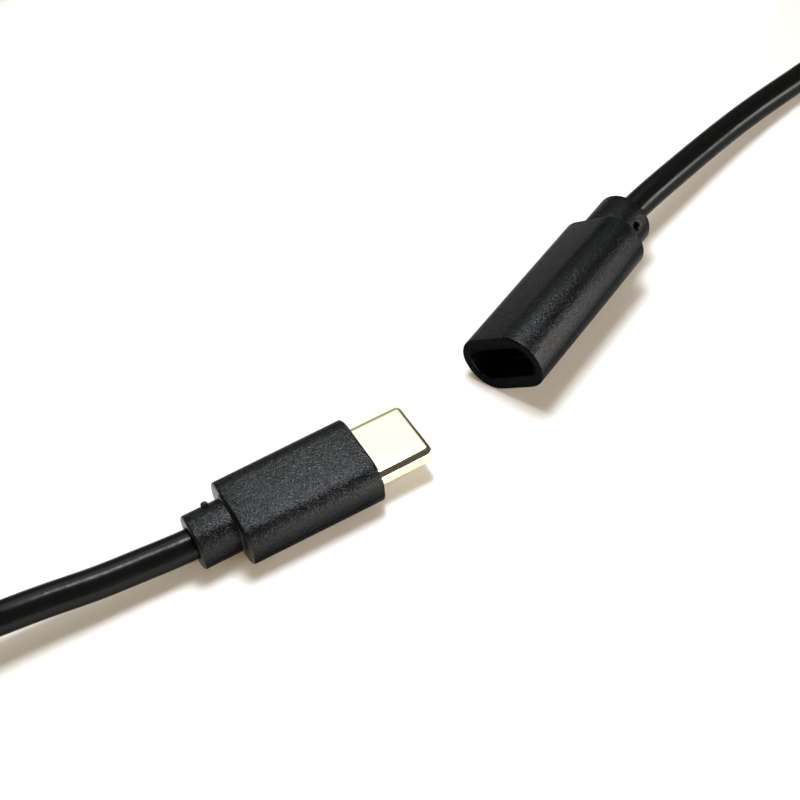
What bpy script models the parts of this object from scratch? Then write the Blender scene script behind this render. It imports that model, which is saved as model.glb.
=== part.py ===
"""A short adapter lead: a flat reversible plug on one end, a flat DC socket on the other.

The plug lies flat, and the origin is the middle of its underside on the table, the plane z = 0. +X runs
past both connectors and is their longest extent, and the plug points 30 degrees to the left of it.
The socket lies on one of its rounded edges beyond the plug's nose, turned so that its mouth looks back
at the plug. One round cable joins the two in an open loop on the table.
Each connector is built in its own frame: x = 0 is the front face of its moulding, +X points out of it,
and its cable leaves towards -X.
"""

import math

import bmesh
import bpy
import numpy as np
from mathutils import Vector

MM = 0.001

# Clearances that keep touching pieces apart
SEAT = 0.10 * MM
FIT = 0.05 * MM

# Largest corner, as a share of half the bar's thickness: a narrow flat always stays
ROUNDEST = 0.97

# Cable
CABLE_DIAMETER = 3.5 * MM
CORE_DIAMETER = 1.3 * MM
STRAND_DIAMETER = 0.7 * MM
CORE_SPREAD = 0.8 * MM
CABLE_POINT_SPACING = 7.0 * MM

# Plug: moulding
PLUG_BODY_LENGTH = 15.8 * MM
PLUG_BODY_CORNER = 2.6 * MM
PLUG_BODY_DRAFT = 0.975
PLUG_NECK_DIAMETER = 5.9 * MM
PLUG_NECK_CORNER = 2.6 * MM
PLUG_NECK_LENGTH = 4.6 * MM
GATE_STUB_DIAMETER = 0.8 * MM
GATE_STUB_PLACE = 2.8 * MM
PLUG_FRONT_WALL = 0.8 * MM
PLUG_SIDE_WALL = 0.6 * MM
PLUG_TOP_WALL = 0.7 * MM
MOULDING_EDGE = 0.3 * MM

# Plug: drawn metal shell, of the standard size
SHELL_WIDTH = 8.25 * MM
SHELL_THICKNESS = 2.4 * MM
SHELL_EXPOSED = 6.8 * MM
SHELL_BURIED = 3.5 * MM
SHELL_WALL = 0.2 * MM
SHELL_NOSE = 0.4 * MM
SHELL_NOSE_RADIUS = 0.35 * MM
SHELL_RIM = 0.35 * MM

# Plug: insulating housing, contacts and latch
HOUSING_TAIL = 3.0 * MM
HOUSING_SIDE = 0.525 * MM
SLOT_HEIGHT = 0.85 * MM
SLOT_DEPTH = 5.8 * MM
CONTACT_PLACES = 12
CONTACT_ROW_MARGIN = 0.6 * MM
CONTACT_WIDTH = 0.25 * MM
CONTACT_THICKNESS = 0.15 * MM
CONTACT_BUMP = 0.2 * MM
CONTACT_TAIL = 1.6 * MM
CONTACT_RECESS = 0.9 * MM
LATCH_THICKNESS = 0.2 * MM
LATCH_ARM_WIDTH = 0.3 * MM
LATCH_HOOK = 0.35 * MM
LATCH_PLATE_LENGTH = 2.0 * MM

# Plug: circuit board and its cover
BOARD_LENGTH = 6.3 * MM
BOARD_WIDTH = 7.4 * MM
BOARD_THICKNESS = 0.8 * MM
COVER_WALL = 0.2 * MM
COVER_BESIDE_SHELL = 0.375 * MM
COVER_ABOVE_SHELL = 1.05 * MM
COVER_CORNER = 1.9 * MM
COVER_LENGTH = 11.6 * MM
CONTROLLER_SIDE = 2.6 * MM
CONTROLLER_HEIGHT = 0.75 * MM
CAPACITOR_SIZE = (1.6 * MM, 0.8 * MM, 0.8 * MM)
RESISTOR_SIZE = (1.0 * MM, 0.5 * MM, 0.35 * MM)

# Socket: moulding
SOCKET_BODY_LENGTH = 23.0 * MM
SOCKET_SIDE_WALL = 0.5 * MM
SOCKET_TOP_WALL = 1.05 * MM
SOCKET_BODY_CORNER = 3.35 * MM
SOCKET_NECK_DIAMETER = 7.0 * MM
SOCKET_NECK_LENGTH = 5.1 * MM
SOCKET_NECK_EDGE = 0.45 * MM
VENT_DIAMETER = 1.0 * MM
VENT_DEPTH = 1.1 * MM
VENT_FROM_NECK_ROOT = 2.6 * MM

# Socket: liner and contacts
MOUTH_WIDTH = 9.1 * MM
MOUTH_HEIGHT = 3.9 * MM
MOUTH_CORNER = 1.65 * MM
MOUTH_DEPTH = 10.5 * MM
MOUTH_LIP = 1.0 * MM
LINER_WALL = 0.5 * MM
LINER_BACK = 2.4 * MM
PIN_DIAMETER = 1.0 * MM
PIN_RECESS = 3.5 * MM
PIN_TAIL = 2.2 * MM
LEAF_THICKNESS = 0.2 * MM
LEAF_WIDTH = 3.6 * MM
LEAF_BOW = 0.45 * MM
LEAF_RECESS = 3.2 * MM
LEAF_TAIL = 1.0 * MM
INNER_MOULD_LENGTH = 7.0 * MM
INNER_MOULD_WALL = 0.8 * MM

# Where the two connectors lie
PLUG_HEADING = math.radians(30)
SOCKET_MOUTH = (22.57 * MM, 15.11 * MM)
SOCKET_HEADING = math.radians(234.4)
SOCKET_ROLL = math.radians(36.3)

# The cable's middle between the two necks, chosen by hand: (x, y, height)
CABLE_ROUTE = [
    (-16.3 * MM, -9.0 * MM, 3.2 * MM),
    (-20.2 * MM, -11.0 * MM, 3.5 * MM),
    (-24.0 * MM, -12.8 * MM, 3.95 * MM),
    (-27.7 * MM, -14.65 * MM, 4.4 * MM),
    (-33.7 * MM, -17.2 * MM, 4.7 * MM),
    (-40.0 * MM, -17.7 * MM, 4.4 * MM),
    (-46.0 * MM, -15.7 * MM, 3.6 * MM),
    (-50.7 * MM, -11.3 * MM, 2.8 * MM),
    (-53.3 * MM, -5.4 * MM, 2.2 * MM),
    (-54.1 * MM, 1.0 * MM, 1.9 * MM),
    (-54.3 * MM, 9.0 * MM, 1.85 * MM),
    (-54.5 * MM, 17.5 * MM, 1.85 * MM),
    (-55.1 * MM, 34.3 * MM, 1.85 * MM),
    (-55.9 * MM, 51.9 * MM, 1.85 * MM),
    (-56.5 * MM, 69.7 * MM, 1.85 * MM),
    (-55.4 * MM, 85.9 * MM, 1.85 * MM),
    (-50.2 * MM, 99.2 * MM, 1.85 * MM),
    (-39.2 * MM, 105.9 * MM, 1.85 * MM),
    (-24.2 * MM, 106.9 * MM, 1.85 * MM),
    (-7.0 * MM, 105.8 * MM, 1.85 * MM),
    (11.1 * MM, 104.7 * MM, 1.85 * MM),
    (29.2 * MM, 103.8 * MM, 1.85 * MM),
    (46.5 * MM, 102.6 * MM, 1.85 * MM),
    (62.0 * MM, 100.4 * MM, 1.85 * MM),
    (72.8 * MM, 95.4 * MM, 1.85 * MM),
    (77.4 * MM, 86.4 * MM, 1.85 * MM),
    (75.9 * MM, 77.6 * MM, 1.85 * MM),
    (70.2 * MM, 70.7 * MM, 2.0 * MM),
    (63.4 * MM, 64.4 * MM, 2.45 * MM),
    (56.9 * MM, 58.2 * MM, 3.05 * MM),
    (50.6 * MM, 51.5 * MM, 3.75 * MM),
    (44.6 * MM, 44.7 * MM, 4.5 * MM),
]

BLACK_PVC = ((0.016, 0.017, 0.018), 0.45, 0.0)
BLACK_CABLE = ((0.012, 0.012, 0.013), 0.3, 0.0)
BLACK_RESIN = ((0.02, 0.02, 0.02), 0.5, 0.0)
NICKEL = ((0.79, 0.77, 0.7), 0.15, 1.0)
SPRING_STEEL = ((0.6, 0.6, 0.58), 0.3, 1.0)
GOLD_PLATE = ((0.86, 0.66, 0.3), 0.25, 1.0)
BRASS = ((0.78, 0.62, 0.32), 0.3, 1.0)
TIN = ((0.7, 0.7, 0.72), 0.35, 1.0)
GREEN_BOARD = ((0.02, 0.14, 0.05), 0.4, 0.0)
CHIP_BLACK = ((0.03, 0.03, 0.03), 0.5, 0.0)
CERAMIC = ((0.5, 0.38, 0.26), 0.5, 0.0)
RED_PVC = ((0.5, 0.02, 0.02), 0.45, 0.0)
CORE_BLACK_PVC = ((0.02, 0.02, 0.02), 0.5, 0.0)
MILKY_RESIN = ((0.8, 0.78, 0.7), 0.5, 0.0)


def clear_scene():
    for obj in list(bpy.data.objects):
        bpy.data.objects.remove(obj, do_unlink=True)


def new_collection(name):
    collection = bpy.data.collections.new(name)
    bpy.context.scene.collection.children.link(collection)
    return collection


def material(name, look):
    colour, roughness, metallic = look
    made = bpy.data.materials.get(name) or bpy.data.materials.new(name)
    made.use_nodes = True
    shader = made.node_tree.nodes["Principled BSDF"]
    shader.inputs["Base Color"].default_value = (*colour, 1.0)
    shader.inputs["Roughness"].default_value = roughness
    shader.inputs["Metallic"].default_value = metallic
    return made


def add_object(name, data, parent, collection):
    obj = bpy.data.objects.new(name, data)
    collection.objects.link(obj)
    obj.parent = parent
    return obj


def connector_frame(name, place, roll, heading):
    """The empty that carries one connector's pieces."""
    frame = add_object(name, None, None, PARTS)
    frame.location = place
    frame.rotation_euler = (roll, 0.0, heading)
    return frame


def finish(obj, name, look):
    """Gives a solid its material and smooth shading with sharp edges."""
    obj.data.materials.append(material(name, look))
    if obj.type == "MESH":
        obj.data.shade_smooth()
        obj.data.set_sharp_from_angle(angle=math.radians(38))
    return obj


def as_cutter(obj):
    obj.hide_render = True
    obj.display_type = "WIRE"
    return obj


def combine(obj, others, operation):
    for other in others:
        boolean = obj.modifiers.new(f"{operation.lower()} {other.name}", "BOOLEAN")
        boolean.operation = operation
        boolean.solver = "EXACT"
        boolean.object = as_cutter(other)
    return obj


def rounded_bar(name, span, size, corner, parent, collection, steps=8, draft=1.0, rims=(0.0, 0.0)):
    """A bar along X from span[0] back to span[1], size (width, thickness), with its four long edges
    rounded. draft narrows its width towards the rear, and rims rounds its front and rear outlines."""
    front, rear = span
    width, thickness = size
    mesh = bpy.data.meshes.new(name)
    shape = bmesh.new()
    bmesh.ops.create_cube(shape, size=1.0)
    bmesh.ops.scale(shape, vec=(front - rear, width, thickness), verts=shape.verts)
    bmesh.ops.translate(shape, vec=((front + rear) / 2, 0, 0), verts=shape.verts)
    middle = (front + rear) / 2
    long_edges = [e for e in shape.edges if (e.verts[0].co.x - middle) * (e.verts[1].co.x - middle) < 0]
    fillet = min(corner, ROUNDEST * min(width, thickness) / 2)
    bmesh.ops.bevel(shape, geom=long_edges, offset=fillet, segments=steps, profile=0.5, affect="EDGES")
    rear_points = [v for v in shape.verts if v.co.x < middle]
    bmesh.ops.scale(shape, vec=(1, draft, 1), verts=rear_points)
    for place, rounding in zip(span, rims):
        if rounding > 0:
            rim = [e for e in shape.edges if all(abs(v.co.x - place) < 1e-7 for v in e.verts)]
            bmesh.ops.bevel(shape, geom=rim, offset=rounding, segments=3, profile=0.5, affect="EDGES")
    shape.to_mesh(mesh)
    shape.free()
    return add_object(name, mesh, parent, collection)


def round_bar(name, span, diameter, parent, collection, at=(0.0, 0.0), sides=32, rims=(0.0, 0.0)):
    """A cylinder along X from span[0] back to span[1], its middle line at (y, z)."""
    front, rear = span
    mesh = bpy.data.meshes.new(name)
    shape = bmesh.new()
    bmesh.ops.create_cone(
        shape, cap_ends=True, segments=sides, radius1=diameter / 2, radius2=diameter / 2, depth=front - rear
    )
    for point in shape.verts:
        point.co = Vector((point.co.z + (front + rear) / 2, point.co.x + at[0], point.co.y + at[1]))
    shape.normal_update()
    for place, rounding in zip(span, rims):
        if rounding > 0:
            rim = [e for e in shape.edges if all(abs(v.co.x - place) < 1e-7 for v in e.verts)]
            bmesh.ops.bevel(shape, geom=rim, offset=rounding, segments=3, profile=0.5, affect="EDGES")
    shape.to_mesh(mesh)
    shape.free()
    return add_object(name, mesh, parent, collection)


def box(name, low, high, parent, collection):
    mesh = bpy.data.meshes.new(name)
    shape = bmesh.new()
    bmesh.ops.create_cube(shape, size=1.0)
    size = [b - a for a, b in zip(low, high)]
    bmesh.ops.scale(shape, vec=size, verts=shape.verts)
    bmesh.ops.translate(shape, vec=[(a + b) / 2 for a, b in zip(low, high)], verts=shape.verts)
    shape.to_mesh(mesh)
    shape.free()
    return add_object(name, mesh, parent, collection)


def flat_curve(name, outline, thickness):
    curve = bpy.data.curves.new(name, "CURVE")
    curve.dimensions = "2D"
    curve.fill_mode = "BOTH"
    curve.extrude = thickness / 2
    spline = curve.splines.new("POLY")
    spline.points.add(len(outline) - 1)
    for point, (u, v) in zip(spline.points, outline):
        point.co = (u, v, 0.0, 1.0)
    spline.use_cyclic_u = True
    return curve


def band_outline(path, thickness):
    """The outline of a strip of even thickness that follows an open path in its own plane."""
    path = [Vector(p) for p in path]
    above, below = [], []
    for i, point in enumerate(path):
        before = (point - path[i - 1]).normalized() if i else None
        after = (path[i + 1] - point).normalized() if i + 1 < len(path) else None
        along = ((before or after) + (after or before)).normalized()
        side = Vector((-along.y, along.x))
        lean = side.dot(Vector((-(after or before).y, (after or before).x)))
        above.append(point + side * thickness / 2 / lean)
        below.append(point - side * thickness / 2 / lean)
    return [tuple(p) for p in above + below[::-1]]


def strip(name, path, thickness, width, middle, parent, collection):
    """A bent metal strip: path runs in the XZ plane, and width is along Y."""
    obj = add_object(name, flat_curve(name, band_outline(path, thickness), width), parent, collection)
    obj.location = (0.0, middle, 0.0)
    obj.rotation_euler = (math.radians(90), 0.0, 0.0)
    return obj


def to_mesh_object(obj, collection):
    """The same piece as one closed mesh, which a Boolean can read."""
    bpy.context.view_layer.update()
    graph = bpy.context.evaluated_depsgraph_get()
    mesh = bpy.data.meshes.new_from_object(obj.evaluated_get(graph))
    shape = bmesh.new()
    shape.from_mesh(mesh)
    bmesh.ops.remove_doubles(shape, verts=shape.verts, dist=1e-6)
    bmesh.ops.recalc_face_normals(shape, faces=shape.faces)
    shape.to_mesh(mesh)
    shape.free()
    name, place, parent = obj.name, obj.matrix_basis.copy(), obj.parent
    bpy.data.objects.remove(obj, do_unlink=True)
    made = add_object(name, mesh, parent, collection)
    made.matrix_basis = place
    return made


def wire(name, path, diameter, parent, collection, resolution=2):
    """A round wire along path."""
    curve = bpy.data.curves.new(name, "CURVE")
    curve.dimensions = "3D"
    curve.bevel_depth = diameter / 2
    curve.bevel_resolution = resolution
    curve.use_fill_caps = True
    spline = curve.splines.new("POLY")
    spline.points.add(len(path) - 1)
    for point, place in zip(spline.points, path):
        point.co = (*place, 1.0)
    return add_object(name, curve, parent, collection)


def core_path(start, end):
    """A core's way from the cable to its solder joint: straight at both ends, with a slant between."""
    stub = CORE_DIAMETER / 2
    return [start, (start[0] + stub, *start[1:]), (end[0] - stub, *end[1:]), end]


def smooth_line(points, spacing):
    """Points about spacing apart along the natural cubic spline through the given ones."""
    points = np.array(points)
    knots = np.concatenate([[0.0], np.cumsum(np.linalg.norm(np.diff(points, axis=0), axis=1))])
    gaps = np.diff(knots)
    count = len(points)
    matrix = np.eye(count)
    right = np.zeros_like(points)
    for i in range(1, count - 1):
        matrix[i, i - 1 : i + 2] = gaps[i - 1], 2 * (gaps[i - 1] + gaps[i]), gaps[i]
        slopes = (points[i + 1] - points[i]) / gaps[i] - (points[i] - points[i - 1]) / gaps[i - 1]
        right[i] = 6 * slopes
    bends = np.linalg.solve(matrix, right)
    line = []
    for at in np.linspace(0.0, knots[-1], round(knots[-1] / spacing) + 1):
        i = min(int(np.searchsorted(knots, at, side="right")) - 1, count - 2)
        a, b = (knots[i + 1] - at) / gaps[i], (at - knots[i]) / gaps[i]
        curve = ((a**3 - a) * bends[i] + (b**3 - b) * bends[i + 1]) * gaps[i] ** 2 / 6
        line.append(tuple(a * points[i] + b * points[i + 1] + curve))
    return line


# Plug


def cover_size():
    """(width, height) of the metal box round the board, a little larger than the shell."""
    return SHELL_WIDTH + 2 * COVER_BESIDE_SHELL, SHELL_THICKNESS + 2 * COVER_ABOVE_SHELL


def plug_body_size():
    """(width, thickness) of the plug's moulding: the metal box with a wall round it."""
    width, height = cover_size()
    return width + 2 * (SEAT + PLUG_SIDE_WALL), height + 2 * (SEAT + PLUG_TOP_WALL)


def plug_place():
    """The middle of the moulding's front face, with the middle of its underside at the origin."""
    half = PLUG_BODY_LENGTH / 2
    return half * math.cos(PLUG_HEADING), half * math.sin(PLUG_HEADING), plug_body_size()[1] / 2


def plug_cavity():
    """(front, rear) of the hollow in the plug's moulding, which the cover fills."""
    front = -PLUG_FRONT_WALL
    return front, front - COVER_LENGTH - 2 * SEAT


def plug_jacket_end():
    return plug_cavity()[1] - SEAT


def plug_moulding():
    """The black PVC body, moulded over the shell, the cover and the cable, with the gate's stub on its neck."""
    body = rounded_bar(
        "plug_overmould",
        (0.0, -PLUG_BODY_LENGTH),
        plug_body_size(),
        PLUG_BODY_CORNER,
        plug,
        PARTS,
        steps=10,
        draft=PLUG_BODY_DRAFT,
        rims=(MOULDING_EDGE, MOULDING_EDGE),
    )
    end = -PLUG_BODY_LENGTH - PLUG_NECK_LENGTH
    neck = rounded_bar(
        "plug neck",
        (-PLUG_BODY_LENGTH + 2 * MOULDING_EDGE, end),
        (PLUG_NECK_DIAMETER, PLUG_NECK_DIAMETER),
        PLUG_NECK_CORNER,
        plug,
        CUTTERS,
        steps=8,
        rims=(0.0, MOULDING_EDGE),
    )
    corner = PLUG_NECK_DIAMETER / 2 - PLUG_NECK_CORNER * (1 - math.sqrt(0.5))
    stub_middle = end + GATE_STUB_PLACE
    stub = round_bar(
        "gate stub",
        (stub_middle + GATE_STUB_DIAMETER / 2, stub_middle - GATE_STUB_DIAMETER / 2),
        GATE_STUB_DIAMETER,
        plug,
        CUTTERS,
        at=(corner, corner),
        sides=16,
        rims=(GATE_STUB_DIAMETER / 4, GATE_STUB_DIAMETER / 4),
    )
    shell_way = rounded_bar(
        "shell way",
        (1.0 * MM, plug_cavity()[0] - SEAT),
        (SHELL_WIDTH + 2 * SEAT, SHELL_THICKNESS + 2 * SEAT),
        SHELL_THICKNESS / 2 + SEAT,
        plug,
        CUTTERS,
    )
    width, height = cover_size()
    hollow = rounded_bar(
        "cover hollow",
        plug_cavity(),
        (width + 2 * SEAT, height + 2 * SEAT),
        COVER_CORNER + SEAT,
        plug,
        CUTTERS,
    )
    bore = round_bar(
        "plug cable bore",
        (plug_cavity()[1] + SEAT, end - 1.0 * MM),
        CABLE_DIAMETER + 2 * SEAT,
        plug,
        CUTTERS,
    )
    combine(body, [neck, stub], "UNION")
    combine(body, [shell_way, hollow, bore], "DIFFERENCE")
    return finish(body, "black_pvc", BLACK_PVC)


def plug_shell():
    """The drawn nickel-plated tube, open at its nose where a thicker rim turns in."""
    tip = SHELL_EXPOSED
    shell = rounded_bar(
        "plug_shell",
        (tip, -SHELL_BURIED),
        (SHELL_WIDTH, SHELL_THICKNESS),
        SHELL_THICKNESS / 2,
        plug,
        PARTS,
        steps=10,
        rims=(SHELL_NOSE_RADIUS, 0.0),
    )
    inside = rounded_bar(
        "shell inside",
        (tip - SHELL_NOSE, -SHELL_BURIED - 1.0 * MM),
        (SHELL_WIDTH - 2 * SHELL_WALL, SHELL_THICKNESS - 2 * SHELL_WALL),
        SHELL_THICKNESS / 2 - SHELL_WALL,
        plug,
        CUTTERS,
        steps=8,
    )
    opening = rounded_bar(
        "shell opening",
        (tip + 1.0 * MM, tip - SHELL_NOSE - SEAT),
        (SHELL_WIDTH - 2 * (SHELL_WALL + SHELL_RIM / 2), SHELL_THICKNESS - 2 * (SHELL_WALL + SHELL_RIM / 2)),
        SHELL_THICKNESS / 2,
        plug,
        CUTTERS,
        steps=8,
    )
    combine(shell, [inside, opening], "DIFFERENCE")
    return finish(shell, "nickel", NICKEL)


def housing_front():
    return SHELL_EXPOSED - SHELL_NOSE - FIT


def housing_size():
    """(width, height) of the housing, which fills the shell."""
    return SHELL_WIDTH - 2 * SHELL_WALL - 2 * FIT, SHELL_THICKNESS - 2 * SHELL_WALL - 2 * FIT


def slot_width():
    return housing_size()[0] - 2 * HOUSING_SIDE


def contact_pitch():
    """The row of twelve places spans the slot, less a margin at each end."""
    return (slot_width() - 2 * CONTACT_ROW_MARGIN) / (CONTACT_PLACES - 1)


def contact_level():
    """Height of a contact strip's middle above the plug's middle: it lies on the board."""
    return BOARD_THICKNESS / 2 + FIT + CONTACT_THICKNESS / 2


def latch_outline(grow):
    """The latch plate seen from above, its edges moved out by grow."""
    arm_in = slot_width() / 2 - LATCH_HOOK / 3
    arm_out = arm_in + LATCH_ARM_WIDTH
    nose = housing_front() - CONTACT_RECESS
    rear = -HOUSING_TAIL + LATCH_THICKNESS
    root = rear + LATCH_PLATE_LENGTH
    half = [
        (root + grow, arm_in - grow),
        (nose - 3 * LATCH_HOOK, arm_in - grow),
        (nose - 2 * LATCH_HOOK, arm_in - LATCH_HOOK - grow),
        (nose - LATCH_HOOK, arm_in - grow),
        (nose + grow, arm_in - grow),
        (nose + grow, arm_out + grow),
        (rear - grow, arm_out + grow),
    ]
    return half + [(x, -y) for x, y in half[::-1]]


def latch_plate(name, grow, collection):
    """One stamped steel plate: a bar between the contact rows and a hooked arm along each side."""
    flat = flat_curve(name, latch_outline(grow), LATCH_THICKNESS + 2 * grow)
    return to_mesh_object(add_object(name, flat, plug, collection), collection)


def contact_places():
    """(name, y, side) of each contact that a power lead fits, counted across the mouth."""
    middle = (CONTACT_PLACES + 1) / 2
    places = []
    for side, row in ((1, "a"), (-1, "b")):
        for number, use in ((1, "ground"), (4, "supply"), (9, "supply"), (12, "ground")):
            places.append((f"{use}_contact_{row}{number}", side * (middle - number) * contact_pitch(), side))
    places.append(("control_contact_a5", (middle - 5) * contact_pitch(), 1))
    return places


def contact_path(side):
    """A straight strip from the board, with a raised bump near the mouth and a lifted tip."""
    level = side * contact_level()
    tip = housing_front() - CONTACT_RECESS
    bump = tip - 3 * CONTACT_BUMP
    return [
        (-HOUSING_TAIL - CONTACT_TAIL, level),
        (bump - 3 * CONTACT_BUMP, level),
        (bump, level - side * CONTACT_BUMP),
        (tip, level + side * FIT),
    ]


def plug_housing():
    """The black resin block in the shell: a slot for the mating tongue, a groove under each contact."""
    front = housing_front()
    size = housing_size()
    block = rounded_bar("plug_housing", (front, -HOUSING_TAIL), size, size[1] / 2, plug, PARTS)
    slot = rounded_bar(
        "tongue slot",
        (front + 1.0 * MM, front - SLOT_DEPTH),
        (slot_width(), SLOT_HEIGHT),
        SLOT_HEIGHT / 5,
        plug,
        CUTTERS,
        steps=2,
    )
    cutters = [slot, latch_plate("latch way", FIT, CUTTERS)]
    groove_top = contact_level() + CONTACT_THICKNESS / 2 + 2 * FIT
    groove_low = contact_level() - CONTACT_THICKNESS / 2 - FIT
    half_width = CONTACT_WIDTH / 2 + FIT
    for name, middle, side in contact_places():
        low, high = sorted((side * groove_low, side * groove_top))
        cutters.append(
            box(
                f"groove {name}",
                (-HOUSING_TAIL - 1.0 * MM, middle - half_width, low),
                (front - CONTACT_RECESS + FIT, middle + half_width, high),
                plug,
                CUTTERS,
            )
        )
    combine(block, cutters, "DIFFERENCE")
    return finish(block, "black_resin", BLACK_RESIN)


def plug_contacts():
    for name, middle, side in contact_places():
        contact = strip(name, contact_path(side), CONTACT_THICKNESS, CONTACT_WIDTH, middle, plug, PARTS)
        finish(contact, "gold_plate", GOLD_PLATE)


def board_span():
    front = -HOUSING_TAIL - FIT
    return front, front - BOARD_LENGTH


def plug_board():
    """The small circuit board that the contact tails and the wires are soldered to."""
    front, rear = board_span()
    half = BOARD_THICKNESS / 2
    board = box("plug_board", (rear, -BOARD_WIDTH / 2, -half), (front, BOARD_WIDTH / 2, half), plug, PARTS)
    finish(board, "green_board", GREEN_BOARD)
    top = half + FIT
    middle_x = front - CONTACT_TAIL - SEAT - CONTROLLER_SIDE / 2
    controller = (CONTROLLER_SIDE, CONTROLLER_SIDE, CONTROLLER_HEIGHT)
    beside = CONTROLLER_SIDE / 2 + CAPACITOR_SIZE[1]
    chips = (
        ("power_controller", controller, (middle_x, 0.0), 1, "chip_black", CHIP_BLACK),
        ("board_capacitor", CAPACITOR_SIZE, (middle_x, beside), 1, "ceramic", CERAMIC),
        ("board_resistor", RESISTOR_SIZE, (middle_x, -beside), -1, "chip_black", CHIP_BLACK),
    )
    for name, size, (x, y), side, slot, look in chips:
        low, high = sorted((side * top, side * (top + size[2])))
        chip = box(
            name, (x - size[0] / 2, y - size[1] / 2, low), (x + size[0] / 2, y + size[1] / 2, high), plug, PARTS
        )
        finish(chip, slot, look)


def cover_half(name, side):
    """One half of the formed metal box round the board, with half of the hole for the cable."""
    front, rear = plug_cavity()[0] - SEAT, plug_cavity()[1] + SEAT
    width, height = cover_size()
    half = rounded_bar(name, (front, rear), (width, height), COVER_CORNER, plug, PARTS, steps=6)
    inside = rounded_bar(
        f"{name} inside",
        (front + 1.0 * MM, rear + COVER_WALL),
        (width - 2 * COVER_WALL, height - 2 * COVER_WALL),
        COVER_CORNER - COVER_WALL,
        plug,
        CUTTERS,
        steps=6,
    )
    hole = round_bar(f"{name} hole", (rear + 1.0 * MM, rear - 1.0 * MM), CABLE_DIAMETER, plug, CUTTERS)
    reach = width
    low, high = sorted((side * FIT, -side * reach))
    other_half = box(
        f"{name} away", (rear - 1.0 * MM, -reach, low), (front + 1.0 * MM, reach, high), plug, CUTTERS
    )
    combine(half, [inside, hole, other_half], "DIFFERENCE")
    return finish(half, "tin_plate", TIN)


def plug_wires():
    """The two insulated cores from the cable's end, and the tinned ends soldered to the board."""
    cable_end = plug_jacket_end() + SEAT
    board_rear = board_span()[1]
    pad = BOARD_THICKNESS / 2 + FIT + STRAND_DIAMETER / 2
    bare = board_rear - FIT
    for name, side, look in (("positive", 1, RED_PVC), ("negative", -1, CORE_BLACK_PVC)):
        y = side * CORE_SPREAD
        path = core_path((cable_end, y, 0.0), (bare, y, pad))
        core = wire(f"{name}_core_at_plug", path, CORE_DIAMETER, plug, PARTS)
        finish(core, f"{name}_pvc", look)
        end = wire(
            f"{name}_wire_end_at_plug",
            [(bare + FIT + CORE_DIAMETER / 4, y, pad), (bare + FIT + CORE_DIAMETER, y, pad)],
            STRAND_DIAMETER,
            plug,
            PARTS,
        )
        finish(end, "tinned_wire", TIN)


# Socket


def socket_height():
    """Height of the socket's middle line when it lies on its rounded edge."""
    width, thickness = socket_body_size()
    corner = min(SOCKET_BODY_CORNER, ROUNDEST * thickness / 2)
    across = (width / 2 - corner) * math.sin(SOCKET_ROLL)
    through = (thickness / 2 - corner) * math.cos(SOCKET_ROLL)
    return across + through + corner


def liner_span():
    return -MOUTH_LIP, -MOUTH_LIP - MOUTH_DEPTH - LINER_BACK


def inner_mould_span():
    front = liner_span()[1] - SEAT
    return front, front - INNER_MOULD_LENGTH


def liner_size():
    return MOUTH_WIDTH + 2 * LINER_WALL, MOUTH_HEIGHT + 2 * LINER_WALL


def socket_body_size():
    """(width, thickness) of the socket's moulding: the liner with a wall round it."""
    width, height = liner_size()
    return width + 2 * (SEAT + SOCKET_SIDE_WALL), height + 2 * (SEAT + SOCKET_TOP_WALL)


def socket_jacket_end():
    return inner_mould_span()[1] + INNER_MOULD_WALL


def socket_moulding():
    """The black PVC body and neck round the liner, with the mouth in its front face."""
    body = rounded_bar(
        "socket_overmould",
        (0.0, -SOCKET_BODY_LENGTH),
        socket_body_size(),
        SOCKET_BODY_CORNER,
        socket,
        PARTS,
        steps=12,
        rims=(MOULDING_EDGE, MOULDING_EDGE),
    )
    end = -SOCKET_BODY_LENGTH - SOCKET_NECK_LENGTH
    neck = round_bar(
        "socket neck",
        (-SOCKET_BODY_LENGTH + 2 * MOULDING_EDGE, end),
        SOCKET_NECK_DIAMETER,
        socket,
        CUTTERS,
        rims=(0.0, SOCKET_NECK_EDGE),
    )
    mouth = rounded_bar(
        "mouth",
        (1.0 * MM, -MOUTH_LIP - SEAT),
        (MOUTH_WIDTH, MOUTH_HEIGHT),
        MOUTH_CORNER,
        socket,
        CUTTERS,
    )
    width, height = liner_size()
    hollow = rounded_bar(
        "liner hollow",
        (liner_span()[0] + SEAT, inner_mould_span()[1] - SEAT),
        (width + 2 * SEAT, height + 2 * SEAT),
        MOUTH_CORNER + LINER_WALL + SEAT,
        socket,
        CUTTERS,
    )
    bore = round_bar(
        "socket cable bore",
        (inner_mould_span()[1] + SEAT, end - 1.0 * MM),
        CABLE_DIAMETER + 2 * SEAT,
        socket,
        CUTTERS,
    )
    vent = round_bar("vent", (0.0, -VENT_DEPTH - 1.0 * MM), VENT_DIAMETER, socket, CUTTERS, sides=12)
    vent.location = (-SOCKET_BODY_LENGTH - VENT_FROM_NECK_ROOT, SOCKET_NECK_DIAMETER / 2 + 1.0 * MM, 0.0)
    vent.rotation_euler = (0.0, 0.0, math.radians(90))
    combine(body, [neck], "UNION")
    combine(body, [mouth, hollow, bore, vent], "DIFFERENCE")
    return finish(body, "black_pvc", BLACK_PVC)


def leaf_path():
    """The outer contact from above the mouth's floor round the back and forward again."""
    near_wall = MOUTH_HEIGHT / 2 - FIT - LEAF_THICKNESS / 2
    front = -LEAF_RECESS
    bow = front - MOUTH_DEPTH / 4
    flat = front - MOUTH_DEPTH / 2
    back = liner_span()[1] - LEAF_TAIL
    upper = [
        (front, near_wall - LEAF_THICKNESS),
        (bow, near_wall - LEAF_BOW),
        (flat, near_wall),
        (back, near_wall),
    ]
    return upper + [(x, -z) for x, z in upper[::-1]]


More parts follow.
